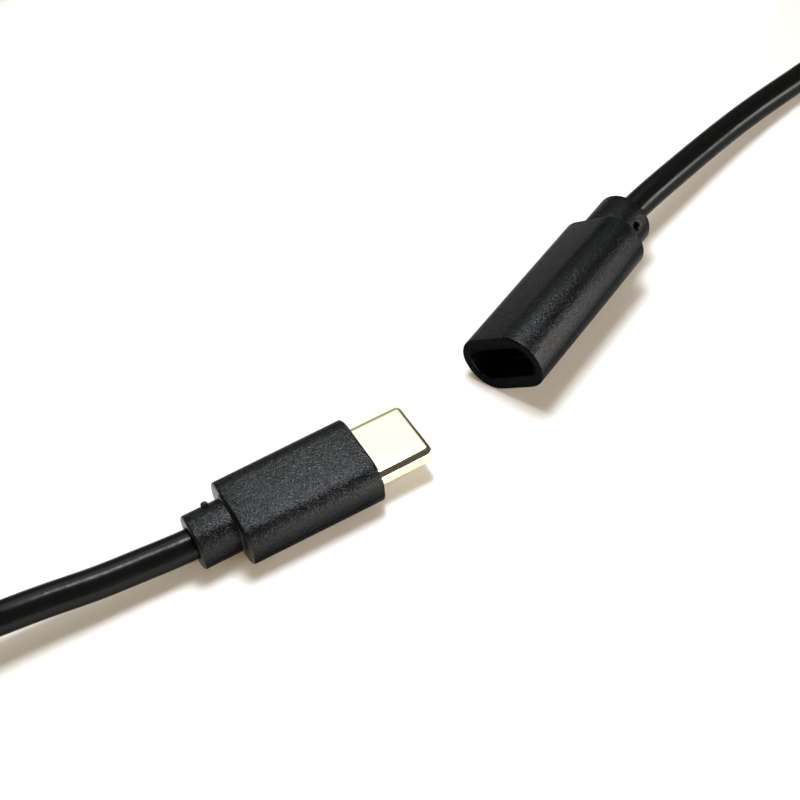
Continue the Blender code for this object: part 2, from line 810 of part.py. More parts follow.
def leaf_cut(name, collection):
    """The outer contact's strip, wide enough to cut its way through the liner."""
    made = strip(
        name, leaf_path()[2:6], LEAF_THICKNESS + 2 * FIT, LEAF_WIDTH + 2 * FIT, 0.0, socket, collection
    )
    return to_mesh_object(made, collection)


def pin_span():
    return -PIN_RECESS, liner_span()[1] - PIN_TAIL


def socket_liner():
    """The black resin cup that the mating plug slides into."""
    front, rear = liner_span()
    block = rounded_bar(
        "socket_liner", (front, rear), liner_size(), MOUTH_CORNER + LINER_WALL, socket, PARTS
    )
    inside = rounded_bar(
        "liner inside",
        (front + 1.0 * MM, front - MOUTH_DEPTH),
        (MOUTH_WIDTH, MOUTH_HEIGHT),
        MOUTH_CORNER,
        socket,
        CUTTERS,
    )
    pin_hole = round_bar(
        "pin hole", (front, rear - 1.0 * MM), PIN_DIAMETER + 2 * FIT, socket, CUTTERS, sides=16
    )
    combine(block, [inside, pin_hole, leaf_cut("leaf way", CUTTERS)], "DIFFERENCE")
    return finish(block, "black_resin", BLACK_RESIN)


def turned_pin():
    """The centre pin: a round-nosed rod turned from brass."""
    front, rear = pin_span()
    length = front - rear
    radius = PIN_DIAMETER / 2
    nose = [math.radians(a) for a in range(0, 91, 15)]
    profile = [(radius * math.sin(a), radius * (math.cos(a) - 1)) for a in nose]
    profile.append((radius, -length))
    profile.append((0.0, -length))
    mesh = bpy.data.meshes.new("centre_pin")
    shape = bmesh.new()
    points = [shape.verts.new((r, 0.0, z)) for r, z in profile]
    for a, b in zip(points, points[1:]):
        shape.edges.new((a, b))
    shape.to_mesh(mesh)
    shape.free()
    pin = add_object("centre_pin", mesh, socket, PARTS)
    pin.location = (front, 0.0, 0.0)
    pin.rotation_euler = (0.0, math.radians(90), 0.0)
    turn = pin.modifiers.new("turn", "SCREW")
    turn.steps = turn.render_steps = 16
    turn.use_merge_vertices = True
    turn.merge_threshold = 1e-6
    return finish(pin, "brass", BRASS)


def outer_contact():
    """Two bowed leaves on one folded strip, with a hole at the fold for the centre pin's tail."""
    band = to_mesh_object(
        strip("outer_contact", leaf_path(), LEAF_THICKNESS, LEAF_WIDTH, 0.0, socket, PARTS), PARTS
    )
    hole = round_bar(
        "pin clearance",
        (liner_span()[1], pin_span()[1] - 1.0 * MM),
        2 * PIN_DIAMETER,
        socket,
        CUTTERS,
        sides=16,
    )
    combine(band, [hole], "DIFFERENCE")
    return finish(band, "spring_steel", SPRING_STEEL)


def socket_inner_mould():
    """The milky inner moulding: a cup over the soldered tails, drilled for the cable's cores."""
    front, rear = inner_mould_span()
    width, height = liner_size()
    cup = rounded_bar(
        "socket_inner_mould", (front, rear), (width, height), MOUTH_CORNER + LINER_WALL, socket, PARTS
    )
    pocket = rounded_bar(
        "solder pocket",
        (front + 1.0 * MM, rear + INNER_MOULD_WALL),
        (width - 2 * INNER_MOULD_WALL, height - 2 * INNER_MOULD_WALL / 2),
        MOUTH_CORNER,
        socket,
        CUTTERS,
    )
    way = round_bar(
        "inner mould bore",
        (rear + 2 * INNER_MOULD_WALL, rear - 1.0 * MM),
        CABLE_DIAMETER + 2 * SEAT,
        socket,
        CUTTERS,
    )
    combine(cup, [pocket, way], "DIFFERENCE")
    return finish(cup, "milky_resin", MILKY_RESIN)


def socket_wires():
    """The cores at the socket: the positive one ends at the pin's tail, the negative one at the fold."""
    cable_end = socket_jacket_end() + SEAT
    tail = pin_span()[1] - FIT
    fold = liner_span()[1] - LEAF_TAIL - LEAF_THICKNESS / 2 - FIT
    routes = (
        ("positive", 1, RED_PVC, (tail, 0.0, 0.0)),
        ("negative", -1, CORE_BLACK_PVC, (fold, -LEAF_WIDTH / 2 + STRAND_DIAMETER / 2, 0.0)),
    )
    for name, side, look, (x, y, z) in routes:
        bare = x - CORE_DIAMETER / 2
        finish(
            wire(
                f"{name}_wire_end_at_socket", [(bare + FIT, y, z), (x, y, z)], STRAND_DIAMETER, socket, PARTS
            ),
            "tinned_wire",
            TIN,
        )
        path = core_path((cable_end, side * CORE_SPREAD, 0.0), (bare, y, z))
        core = wire(f"{name}_core_at_socket", path, CORE_DIAMETER, socket, PARTS)
        finish(core, f"{name}_pvc", look)


# Cable


def cable():
    """One round jacketed cable from inside the plug's neck, round the loop, into the socket's neck."""
    bpy.context.view_layer.update()
    plug_end = -PLUG_BODY_LENGTH - PLUG_NECK_LENGTH
    socket_end = -SOCKET_BODY_LENGTH - SOCKET_NECK_LENGTH
    in_plug = (plug_jacket_end(), (plug_jacket_end() + plug_end) / 2, plug_end)
    in_socket = (socket_end, (socket_end + socket_jacket_end()) / 2, socket_jacket_end())
    points = [plug.matrix_world @ Vector((x, 0.0, 0.0)) for x in in_plug]
    points += [Vector(p) for p in CABLE_ROUTE]
    points += [socket.matrix_world @ Vector((x, 0.0, 0.0)) for x in in_socket]
    made = wire("cable", smooth_line(points, CABLE_POINT_SPACING), CABLE_DIAMETER, None, PARTS)
    return finish(made, "black_cable", BLACK_CABLE)


clear_scene()
PARTS = new_collection("dc_to_usb_c_cable")
CUTTERS = new_collection("cutters")
plug = connector_frame("plug_frame", plug_place(), roll=0.0, heading=PLUG_HEADING)
socket = connector_frame(
    "socket_frame", (*SOCKET_MOUTH, socket_height()), roll=SOCKET_ROLL, heading=SOCKET_HEADING
)
plug_moulding()
plug_shell()
plug_housing()
finish(latch_plate("latch_plate", 0.0, PARTS), "spring_steel", SPRING_STEEL)
plug_contacts()
plug_board()
cover_half("upper_cover", 1)
cover_half("lower_cover", -1)
plug_wires()
socket_moulding()
socket_liner()
turned_pin()
outer_contact()
socket_inner_mould()
socket_wires()
cable()
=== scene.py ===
"""Dresses the short adapter lead: a flat reversible power plug on one end, a flat DC socket on the other.

Laid out as an add-on and run as a script. Every length is in metres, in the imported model's frame: the
origin is the middle of the plug's underside, +X runs along the table past both connectors and +Z is up.
Each connector also has its own frame, with x = 0 at the front face of its moulding and +X out of it.
"""

import math

import bmesh
import bpy
import numpy as np
from bpy.props import FloatProperty, FloatVectorProperty, IntProperty, PointerProperty
from mathutils import Matrix, Vector


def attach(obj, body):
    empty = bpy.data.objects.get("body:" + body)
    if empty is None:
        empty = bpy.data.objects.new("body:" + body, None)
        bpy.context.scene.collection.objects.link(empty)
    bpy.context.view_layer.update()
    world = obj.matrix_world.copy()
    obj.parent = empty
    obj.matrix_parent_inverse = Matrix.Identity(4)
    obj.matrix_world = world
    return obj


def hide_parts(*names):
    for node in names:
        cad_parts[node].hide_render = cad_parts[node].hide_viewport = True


bl_info = {
    "name": "Adapter Lead",
    "version": (1, 0, 0),
    "blender": (4, 5, 0),
    "location": "3D View > Sidebar > Adapter Lead",
    "description": "Moulded plug, moulded socket and the cable between them, on a white table",
    "category": "Object",
}

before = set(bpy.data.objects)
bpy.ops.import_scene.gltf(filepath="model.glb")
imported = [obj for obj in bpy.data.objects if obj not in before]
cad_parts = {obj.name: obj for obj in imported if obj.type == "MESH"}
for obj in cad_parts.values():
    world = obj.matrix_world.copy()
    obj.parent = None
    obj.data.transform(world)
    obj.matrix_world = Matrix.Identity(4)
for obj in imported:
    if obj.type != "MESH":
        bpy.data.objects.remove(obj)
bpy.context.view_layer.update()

MM = 0.001

# Edges sharper than this stay sharp where a piece is shaded smooth
SHARP_FROM = math.radians(40)

# The cable's bore in both necks: the jacket with 0.1 mm of room all round, wider by a hair at its mouth
BORE = 3.7 * MM
BORE_MOUTH = 3.9 * MM
BORE_CHAMFER = 0.1 * MM

# Where each connector lies: the middle of its moulding's front face, its heading and its roll
PLUG_HEADING = math.radians(30)
SOCKET_HEADING = math.radians(234.4)
PLUG_PLACE = Matrix.Rotation(PLUG_HEADING, 4, "Z") @ Matrix.Translation((7.9 * MM, 0.0, 3.05 * MM))
SOCKET_PLACE = (
    Matrix.Translation((22.57 * MM, 15.11 * MM, 4.913 * MM))
    @ Matrix.Rotation(SOCKET_HEADING, 4, "Z")
    @ Matrix.Rotation(math.radians(36.3), 4, "X")
)

# Behind each front face: where the cable ends inside the moulding and where it leaves the neck
CABLE_END_IN_PLUG = -12.7 * MM
CABLE_LEAVES_PLUG = -20.4 * MM
CABLE_END_IN_SOCKET = -20.2 * MM
CABLE_LEAVES_SOCKET = -28.1 * MM

# The cable's middle between the two necks, as in the CAD source: (x, y, height)
CABLE_ROUTE = [
    (-16.3 * MM, -9.0 * MM, 3.2 * MM),
    (-20.2 * MM, -11.0 * MM, 3.5 * MM),
    (-24.0 * MM, -12.8 * MM, 3.95 * MM),
    (-27.7 * MM, -14.65 * MM, 4.4 * MM),
    (-33.7 * MM, -17.2 * MM, 4.7 * MM),
    (-40.0 * MM, -17.7 * MM, 4.4 * MM),
    (-46.0 * MM, -15.7 * MM, 3.6 * MM),
    (-50.7 * MM, -11.3 * MM, 2.8 * MM),
    (-53.3 * MM, -5.4 * MM, 2.2 * MM),
    (-54.1 * MM, 1.0 * MM, 1.9 * MM),
    (-54.3 * MM, 9.0 * MM, 1.85 * MM),
    (-54.5 * MM, 17.5 * MM, 1.85 * MM),
    (-55.1 * MM, 34.3 * MM, 1.85 * MM),
    (-55.9 * MM, 51.9 * MM, 1.85 * MM),
    (-56.5 * MM, 69.7 * MM, 1.85 * MM),
    (-55.4 * MM, 85.9 * MM, 1.85 * MM),
    (-50.2 * MM, 99.2 * MM, 1.85 * MM),
    (-39.2 * MM, 105.9 * MM, 1.85 * MM),
    (-24.2 * MM, 106.9 * MM, 1.85 * MM),
    (-7.0 * MM, 105.8 * MM, 1.85 * MM),
    (11.1 * MM, 104.7 * MM, 1.85 * MM),
    (29.2 * MM, 103.8 * MM, 1.85 * MM),
    (46.5 * MM, 102.6 * MM, 1.85 * MM),
    (62.0 * MM, 100.4 * MM, 1.85 * MM),
    (72.8 * MM, 95.4 * MM, 1.85 * MM),
    (77.4 * MM, 86.4 * MM, 1.85 * MM),
    (75.9 * MM, 77.6 * MM, 1.85 * MM),
    (70.2 * MM, 70.7 * MM, 2.0 * MM),
    (63.4 * MM, 64.4 * MM, 2.45 * MM),
    (56.9 * MM, 58.2 * MM, 3.05 * MM),
    (50.6 * MM, 51.5 * MM, 3.75 * MM),
    (44.6 * MM, 44.7 * MM, 4.5 * MM),
]


# Small tools


def hex_colour(text):
    """An sRGB hex colour as the linear RGB that Blender's sockets hold."""
    values = [int(text[i : i + 2], 16) / 255 for i in (1, 3, 5)]
    return tuple(v / 12.92 if v <= 0.04045 else ((v + 0.055) / 1.055) ** 2.4 for v in values)


def add(tree, kind, settings=None, values=None, links=None):
    """Adds a node of this kind with its settings, its inputs' values and the sockets linked into it."""
    node = tree.nodes.new(kind)
    for name, value in (settings or {}).items():
        setattr(node, name, value)
    for socket, value in (values or {}).items():
        node.inputs[socket].default_value = value
    for socket, source in (links or {}).items():
        tree.links.new(source, node.inputs[socket])
    return node


def new_material(name, values):
    """A material with one Principled shader; returns (material, tree, shader)."""
    made = bpy.data.materials.new(name)
    made.use_nodes = True
    shader = made.node_tree.nodes["Principled BSDF"]
    for socket, value in values.items():
        shader.inputs[socket].default_value = value
    return made, made.node_tree, shader


def paint(node_names, material):
    """Puts one material on CAD nodes that keep their own shape."""
    for name in node_names:
        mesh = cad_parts[name].data
        mesh.materials.clear()
        mesh.materials.append(material)


def object_from(name, shape, place, material):
    """One object at the origin from a bmesh built in a connector's frame."""
    bmesh.ops.recalc_face_normals(shape, faces=shape.faces)
    mesh = bpy.data.meshes.new(name)
    shape.to_mesh(mesh)
    shape.free()
    mesh.transform(place)
    mesh.materials.append(material)
    mesh.shade_smooth()
    mesh.set_sharp_from_angle(angle=SHARP_FROM)
    obj = bpy.data.objects.new(name, mesh)
    bpy.context.scene.collection.objects.link(obj)
    return obj


def paint_end(obj, place, direction, start, material):
    """Another material on the faces past start that look within 60 degrees of a connector's direction."""
    obj.data.materials.append(material)
    out = place.to_3x3() @ Vector(direction)
    plane = place.translation.dot(out) + start
    for face in obj.data.polygons:
        if face.center.dot(out) > plane and face.normal.dot(out) > math.cos(math.radians(60)):
            face.material_index = len(obj.data.materials) - 1


def rounded_ring(x, width, thickness, corner, per_corner=14):
    """Points round a rounded rectangle in the plane x, the same number for every size."""
    # A corner stops just short of a full half round, so that no two points meet
    corner = min(corner, 0.999 * min(width, thickness) / 2)
    ring = []
    for quarter, (side_y, side_z) in enumerate(((1, 1), (-1, 1), (-1, -1), (1, -1))):
        for step in range(per_corner):
            angle = (quarter + step / (per_corner - 1)) * math.pi / 2
            ring.append(
                Vector(
                    (
                        x,
                        side_y * (width / 2 - corner) + corner * math.cos(angle),
                        side_z * (thickness / 2 - corner) + corner * math.sin(angle),
                    )
                )
            )
    return ring


def inset_ring(x, width, thickness, corner, inset):
    """A rounded rectangle's ring drawn in by the inset all round, or let out by a negative one."""
    return rounded_ring(x, width - 2 * inset, thickness - 2 * inset, corner - inset)


def round_ring(x, diameter, per_corner=14):
    """Points round a circle in the plane x, spaced evenly, as many as a rounded ring has."""
    count = 4 * per_corner
    turns = [2 * math.pi * (i + 0.5) / count for i in range(count)]
    return [Vector((x, diameter / 2 * math.cos(a), diameter / 2 * math.sin(a))) for a in turns]


def edge_steps(radius, count=5):
    """(depth, inset) along a quarter round, from the face to the side."""
    angles = [math.pi / 2 * i / count for i in range(count + 1)]
    return [(radius * (1 - math.cos(a)), radius * (1 - math.sin(a))) for a in angles]


def lofted(rings, capped):
    """A surface through the rings in turn: a solid with capped ends, or led back to the first as a wall."""
    shape = bmesh.new()
    made = [[shape.verts.new(point) for point in ring] for ring in rings]
    following = made[1:] if capped else made[1:] + made[:1]
    for first, second in zip(made, following):
        for i in range(len(first)):
            j = (i + 1) % len(first)
            shape.faces.new((first[i], first[j], second[j], second[i]))
    if capped:
        shape.faces.new(made[0])
        shape.faces.new(made[-1])
    return shape


def combined(shape, other, operation):
    """The bmesh that a Boolean makes of two closed ones, which it uses up."""
    pair = []
    for part in (shape, other):
        bmesh.ops.recalc_face_normals(part, faces=part.faces)
        mesh = bpy.data.meshes.new("part")
        part.to_mesh(mesh)
        part.free()
        pair.append(bpy.data.objects.new("part", mesh))
        bpy.context.scene.collection.objects.link(pair[-1])
    step = pair[0].modifiers.new("combine", "BOOLEAN")
    step.operation = operation
    step.solver = "EXACT"
    step.object = pair[1]
    result = bmesh.new()
    result.from_mesh(evaluated_mesh(pair[0]))
    for obj in pair:
        bpy.data.objects.remove(obj)
    return result


def evaluated_mesh(obj):
    """A plain mesh of an object as its modifiers leave it."""
    bpy.context.view_layer.update()
    graph = bpy.context.evaluated_depsgraph_get()
    return bpy.data.meshes.new_from_object(obj.evaluated_get(graph))


def smooth_line(points, spacing):
    """Points about spacing apart along the natural cubic spline through the given ones."""
    points = np.array(points)
    knots = np.concatenate([[0.0], np.cumsum(np.linalg.norm(np.diff(points, axis=0), axis=1))])
    gaps = np.diff(knots)
    count = len(points)
    matrix = np.eye(count)
    right = np.zeros_like(points)
    for i in range(1, count - 1):
        matrix[i, i - 1 : i + 2] = gaps[i - 1], 2 * (gaps[i - 1] + gaps[i]), gaps[i]
        slopes = (points[i + 1] - points[i]) / gaps[i] - (points[i] - points[i - 1]) / gaps[i - 1]
        right[i] = 6 * slopes
    bends = np.linalg.solve(matrix, right)
    line = []
    for at in np.linspace(0.0, knots[-1], round(knots[-1] / spacing) + 1):
        i = min(int(np.searchsorted(knots, at, side="right")) - 1, count - 2)
        a, b = (knots[i + 1] - at) / gaps[i], (at - knots[i]) / gaps[i]
        curve = ((a**3 - a) * bends[i] + (b**3 - b) * bends[i + 1]) * gaps[i] ** 2 / 6
        line.append(Vector(a * points[i] + b * points[i + 1] + curve))
    return line


# Materials


def fading_sheen(tree, shader, face_on, low):
    """Less sheen the lower the eye looks along a textured skin, where its pits shade each other."""
    # Facing is 0.22 where the eye is 39 degrees off square and 0.5 where it is 60
    slant = add(tree, "ShaderNodeLayerWeight", values={"Blend": 0.5})
    sheen = add(
        tree,
        "ShaderNodeMapRange",
        values={"From Min": 0.22, "From Max": 0.5, "To Min": face_on, "To Max": low},
        links={"Value": slant.outputs["Facing"]},
    )
    tree.links.new(sheen.outputs["Result"], shader.inputs["Specular IOR Level"])


def spark_textured_pvc(name, colour, sheen, grain):
    """Soft PVC moulded in a spark-eroded tool: matte black, with a grain whose facets glint one by one."""
    made, tree, shader = new_material(name, {"IOR": 1.5})
    fading_sheen(tree, shader, sheen, sheen / 20)
    place = add(tree, "ShaderNodeTexCoord").outputs["Object"]
    # A faint mottle in the pigment, one patch every 5.5 mm
    tint = add(
        tree,
        "ShaderNodeTexNoise",
        values={"Scale": 0.18 / MM, "Detail": 3.0, "Roughness": 0.6},
        links={"Vector": place},
    )
    shade = add(tree, "ShaderNodeValToRGB", links={"Fac": tint.outputs["Fac"]})
    shade.color_ramp.elements[0].position = 0.35
    shade.color_ramp.elements[0].color = (*[c * 0.82 for c in colour], 1.0)
    shade.color_ramp.elements[1].position = 0.7
    shade.color_ramp.elements[1].color = (*[c * 1.2 for c in colour], 1.0)
    # Erosion craters, each with its own tilt: 6.6 to the millimetre, twice as coarse as the real
    # ones, because finer craters average out in a picture pixel of 0.12 mm
    craters = add(
        tree,
        "ShaderNodeTexNoise",
        values={"Scale": 6.6 / MM, "Detail": 1.0, "Roughness": 0.5},
        links={"Vector": place},
    )
    # Drifts of 0.5 mm where they lie deeper or shallower
    drifts = add(
        tree,
        "ShaderNodeTexNoise",
        values={"Scale": 2.0 / MM, "Detail": 1.0, "Roughness": 0.5},
        links={"Vector": place},
    )
    height = add(
        tree,
        "ShaderNodeMath",
        {"operation": "MULTIPLY_ADD"},
        {1: 0.5},
        {0: drifts.outputs["Fac"], 2: craters.outputs["Fac"]},
    )
    bump = add(
        tree,
        "ShaderNodeBump",
        values={"Strength": 1.0, "Distance": grain},
        links={"Height": height.outputs[0]},
    )
    rough = add(
        tree,
        "ShaderNodeMapRange",
        values={"From Min": 0.35, "From Max": 0.65, "To Min": 0.16, "To Max": 0.28},
        links={"Value": craters.outputs["Fac"]},
    )
    tree.links.new(shade.outputs["Color"], shader.inputs["Base Color"])
    tree.links.new(rough.outputs["Result"], shader.inputs["Roughness"])
    tree.links.new(bump.outputs["Normal"], shader.inputs["Normal"])
    return made


def extruded_pvc(colour):
    """Extruded PVC jacket: near-black and satin, with the faint waves that the die leaves."""
    made, tree, shader = new_material("extruded_pvc", {"IOR": 1.54, "Base Color": (*colour, 1.0)})
    fading_sheen(tree, shader, 0.2, 0.02)
    place = add(tree, "ShaderNodeTexCoord").outputs["Object"]
    # The die's waves, one every 4 mm, and the jacket's fine skin, one grain every 0.3 mm
    waves = add(
        tree,
        "ShaderNodeTexNoise",
        values={"Scale": 0.26 / MM, "Detail": 3.0, "Roughness": 0.55},
        links={"Vector": place},
    )
    fine = add(
        tree,
        "ShaderNodeTexNoise",
        values={"Scale": 3.2 / MM, "Detail": 2.0},
        links={"Vector": place},
    )
    height = add(
        tree,
        "ShaderNodeMath",
        {"operation": "MULTIPLY_ADD"},
        {1: 0.08},
        {0: fine.outputs["Fac"], 2: waves.outputs["Fac"]},
    )
    bump = add(
        tree,
        "ShaderNodeBump",
        values={"Strength": 0.35, "Distance": 0.2 * MM},
        links={"Height": height.outputs[0]},
    )
    rough = add(
        tree,
        "ShaderNodeMapRange",
        values={"From Min": 0.35, "From Max": 0.65, "To Min": 0.16, "To Max": 0.25},
        links={"Value": waves.outputs["Fac"]},
    )
    tree.links.new(rough.outputs["Result"], shader.inputs["Roughness"])
    tree.links.new(bump.outputs["Normal"], shader.inputs["Normal"])
    return made


def metal(name, colour, roughness, heading):
    """A plated or rolled metal: a tinted mirror, a little softer in the faint streaks along its heading."""
    made, tree, shader = new_material(
        name, {"Base Color": (*colour, 1.0), "Metallic": 1.0, "Roughness": roughness}
    )
    place = add(tree, "ShaderNodeTexCoord").outputs["Object"]
    # Draw and roll marks: 0.45 mm apart, 17 mm long
    along = add(
        tree,
        "ShaderNodeMapping",
        {"vector_type": "TEXTURE"},
        {"Rotation": (0.0, 0.0, heading), "Scale": (17.0 * MM, 0.45 * MM, 0.45 * MM)},
        {"Vector": place},
    )
    lines = add(
        tree,
        "ShaderNodeTexNoise",
        values={"Scale": 1.0, "Detail": 3.0},
        links={"Vector": along.outputs["Vector"]},
    )
    rough = add(
        tree,
        "ShaderNodeMapRange",
        values={"From Min": 0.3, "From Max": 0.7, "To Min": 0.8 * roughness, "To Max": 1.3 * roughness},
        links={"Value": lines.outputs["Fac"]},
    )
    bump = add(
        tree,
        "ShaderNodeBump",
        values={"Strength": 0.12, "Distance": 0.02 * MM},
        links={"Height": lines.outputs["Fac"]},
    )
    tree.links.new(rough.outputs["Result"], shader.inputs["Roughness"])
    tree.links.new(bump.outputs["Normal"], shader.inputs["Normal"])
    return made


def plain_resin(name, colour, roughness, sheen=0.5):
    """A moulded or coated plastic: one colour with a faint mottle and a skin with a grain of 0.4 mm."""
    made, tree, shader = new_material(
        name, {"Roughness": roughness, "IOR": 1.5, "Specular IOR Level": sheen}
    )
    place = add(tree, "ShaderNodeTexCoord").outputs["Object"]
    noise = add(
        tree, "ShaderNodeTexNoise", values={"Scale": 2.5 / MM, "Detail": 2.0}, links={"Vector": place}
    )
    shade = add(tree, "ShaderNodeValToRGB", links={"Fac": noise.outputs["Fac"]})
    shade.color_ramp.elements[0].position = 0.3
    shade.color_ramp.elements[0].color = (*[c * 0.85 for c in colour], 1.0)
    shade.color_ramp.elements[1].position = 0.7
    shade.color_ramp.elements[1].color = (*[min(1.0, c * 1.15) for c in colour], 1.0)
    bump = add(
        tree,
        "ShaderNodeBump",
        values={"Strength": 0.3, "Distance": 0.02 * MM},
        links={"Height": noise.outputs["Fac"]},
    )
    tree.links.new(shade.outputs["Color"], shader.inputs["Base Color"])
    tree.links.new(bump.outputs["Normal"], shader.inputs["Normal"])
    return made


def moulding_pvc(colours):
    """The textured PVC that both mouldings share, made when the first of them asks for it."""
    made = bpy.data.materials.get("spark_textured_pvc")
    return made or spark_textured_pvc("spark_textured_pvc", tuple(colours.moulding), 0.24, 0.08 * MM)


# Sizes and colours that a user may change


class PlugSizes(bpy.types.PropertyGroup):
    length: FloatProperty(
        name="Body length",
        description="From the moulding's front face to its neck",
        default=15.8 * MM,
        subtype="DISTANCE",
    )
    width: FloatProperty(
        name="Body width",
        description="Across the moulding at its front",
        default=10.4 * MM,
        subtype="DISTANCE",
    )
    thickness: FloatProperty(
        name="Body thickness",
        description="From the moulding's underside to its top",
        default=6.1 * MM,
        subtype="DISTANCE",
    )
    corner: FloatProperty(
        name="Body corner",
        description="Radius of the four long edges",
        default=2.6 * MM,
        subtype="DISTANCE",
    )
    draft: FloatProperty(
        name="Draft", description="Share of the front width that is left at the rear", default=0.975
    )
    neck: FloatProperty(
        name="Neck width", description="Across the square neck", default=5.9 * MM, subtype="DISTANCE"
    )
    neck_length: FloatProperty(
        name="Neck length",
        description="From the body to the neck's end",
        default=4.6 * MM,
        subtype="DISTANCE",
    )
    neck_corner: FloatProperty(
        name="Neck corner", description="Radius of the neck's edges", default=2.6 * MM, subtype="DISTANCE"
    )
    stub: FloatProperty(
        name="Stub", description="Across the stub that the gate left", default=0.8 * MM, subtype="DISTANCE"
    )
    edge: FloatProperty(
        name="Edge", description="Radius of the front and rear outlines", default=0.3 * MM, subtype="DISTANCE"
    )
    contact_pitch: FloatProperty(
        name="Contact pitch", description="From place to place in a row", default=0.5 * MM, subtype="DISTANCE"
    )
    shell_width: FloatProperty(
        name="Shell width",
        description="Across the metal shell",
        default=8.25 * MM,
        subtype="DISTANCE",
    )
    shell_thickness: FloatProperty(
        name="Shell thickness",
        description="From the shell's underside to its top",
        default=2.4 * MM,
        subtype="DISTANCE",
    )
    shell_wall: FloatProperty(
        name="Shell wall", description="Thickness of the drawn metal", default=0.2 * MM, subtype="DISTANCE"
    )
    nose: FloatProperty(
        name="Nose radius",
        description="How the shell's front edge turns in",
        default=0.35 * MM,
        subtype="DISTANCE",
    )


class SocketSizes(bpy.types.PropertyGroup):
    length: FloatProperty(
        name="Body length",
        description="From the front face to the neck",
        default=23.0 * MM,
        subtype="DISTANCE",
    )
    width: FloatProperty(
        name="Body width", description="Across the moulding", default=11.3 * MM, subtype="DISTANCE"
    )
    thickness: FloatProperty(
        name="Body thickness",
        description="Between the moulding's two flats",
        default=7.2 * MM,
        subtype="DISTANCE",
    )
    corner: FloatProperty(
        name="Body corner",
        description="Radius of the four long edges",
        default=3.35 * MM,
        subtype="DISTANCE",
    )
    neck: FloatProperty(
        name="Neck diameter", description="Across the round neck", default=7.0 * MM, subtype="DISTANCE"
    )
    neck_length: FloatProperty(
        name="Neck length",
        description="From the body to the neck's end",
        default=5.1 * MM,
        subtype="DISTANCE",
    )
    mouth_width: FloatProperty(
        name="Mouth width", description="Across the opening", default=9.1 * MM, subtype="DISTANCE"
    )
    mouth_height: FloatProperty(
        name="Mouth height",
        description="Between the opening's two flats",
        default=3.9 * MM,
        subtype="DISTANCE",
    )
    mouth_corner: FloatProperty(
        name="Mouth corner",
        description="Radius of the opening's corners",
        default=1.65 * MM,
        subtype="DISTANCE",
    )
    edge: FloatProperty(
        name="Edge", description="Radius of the front and rear outlines", default=0.3 * MM, subtype="DISTANCE"
    )
    pit: FloatProperty(
        name="Pit diameter", description="Of the small pit in the neck", default=1.0 * MM, subtype="DISTANCE"
    )


class CableSizes(bpy.types.PropertyGroup):
    diameter: FloatProperty(
        name="Diameter", description="Over the jacket", default=3.5 * MM, subtype="DISTANCE"
    )
    sides: IntProperty(name="Sides", description="Faces round the jacket", default=40, min=8, max=64)
    spacing: FloatProperty(
        name="Ring spacing",
        description="Between rings along the jacket",
        default=1.0 * MM,
        subtype="DISTANCE",
    )


class FinishColours(bpy.types.PropertyGroup):
    moulding: FloatVectorProperty(
        name="Mouldings", description="Soft PVC of both ends", subtype="COLOR", default=hex_colour("#0a0c0f")
    )
    jacket: FloatVectorProperty(
        name="Jacket", description="Extruded PVC of the cable", subtype="COLOR", default=hex_colour("#0a0b0c")
    )
    nickel: FloatVectorProperty(
        name="Nickel", description="Plating of the shell", subtype="COLOR", default=hex_colour("#e6e2cb")
    )
    gold: FloatVectorProperty(
        name="Gold", description="Flash on the contacts", subtype="COLOR", default=hex_colour("#e0b35a")
    )


class StageSettings(bpy.types.PropertyGroup):
    key_power: FloatProperty(
        name="Key power", description="Of the lamp that casts the shadows", default=11.0, unit="POWER"
    )
    key_size: FloatProperty(
        name="Key size", description="Diameter of that lamp", default=0.05, subtype="DISTANCE"
    )
    window_power: FloatProperty(
        name="Window power", description="Of the low window at the right", default=3.3, unit="POWER"
    )
    lens: FloatProperty(
        name="Lens", description="Focal length on a 36 mm sensor", default=63.3, unit="CAMERA"
    )


# Operators


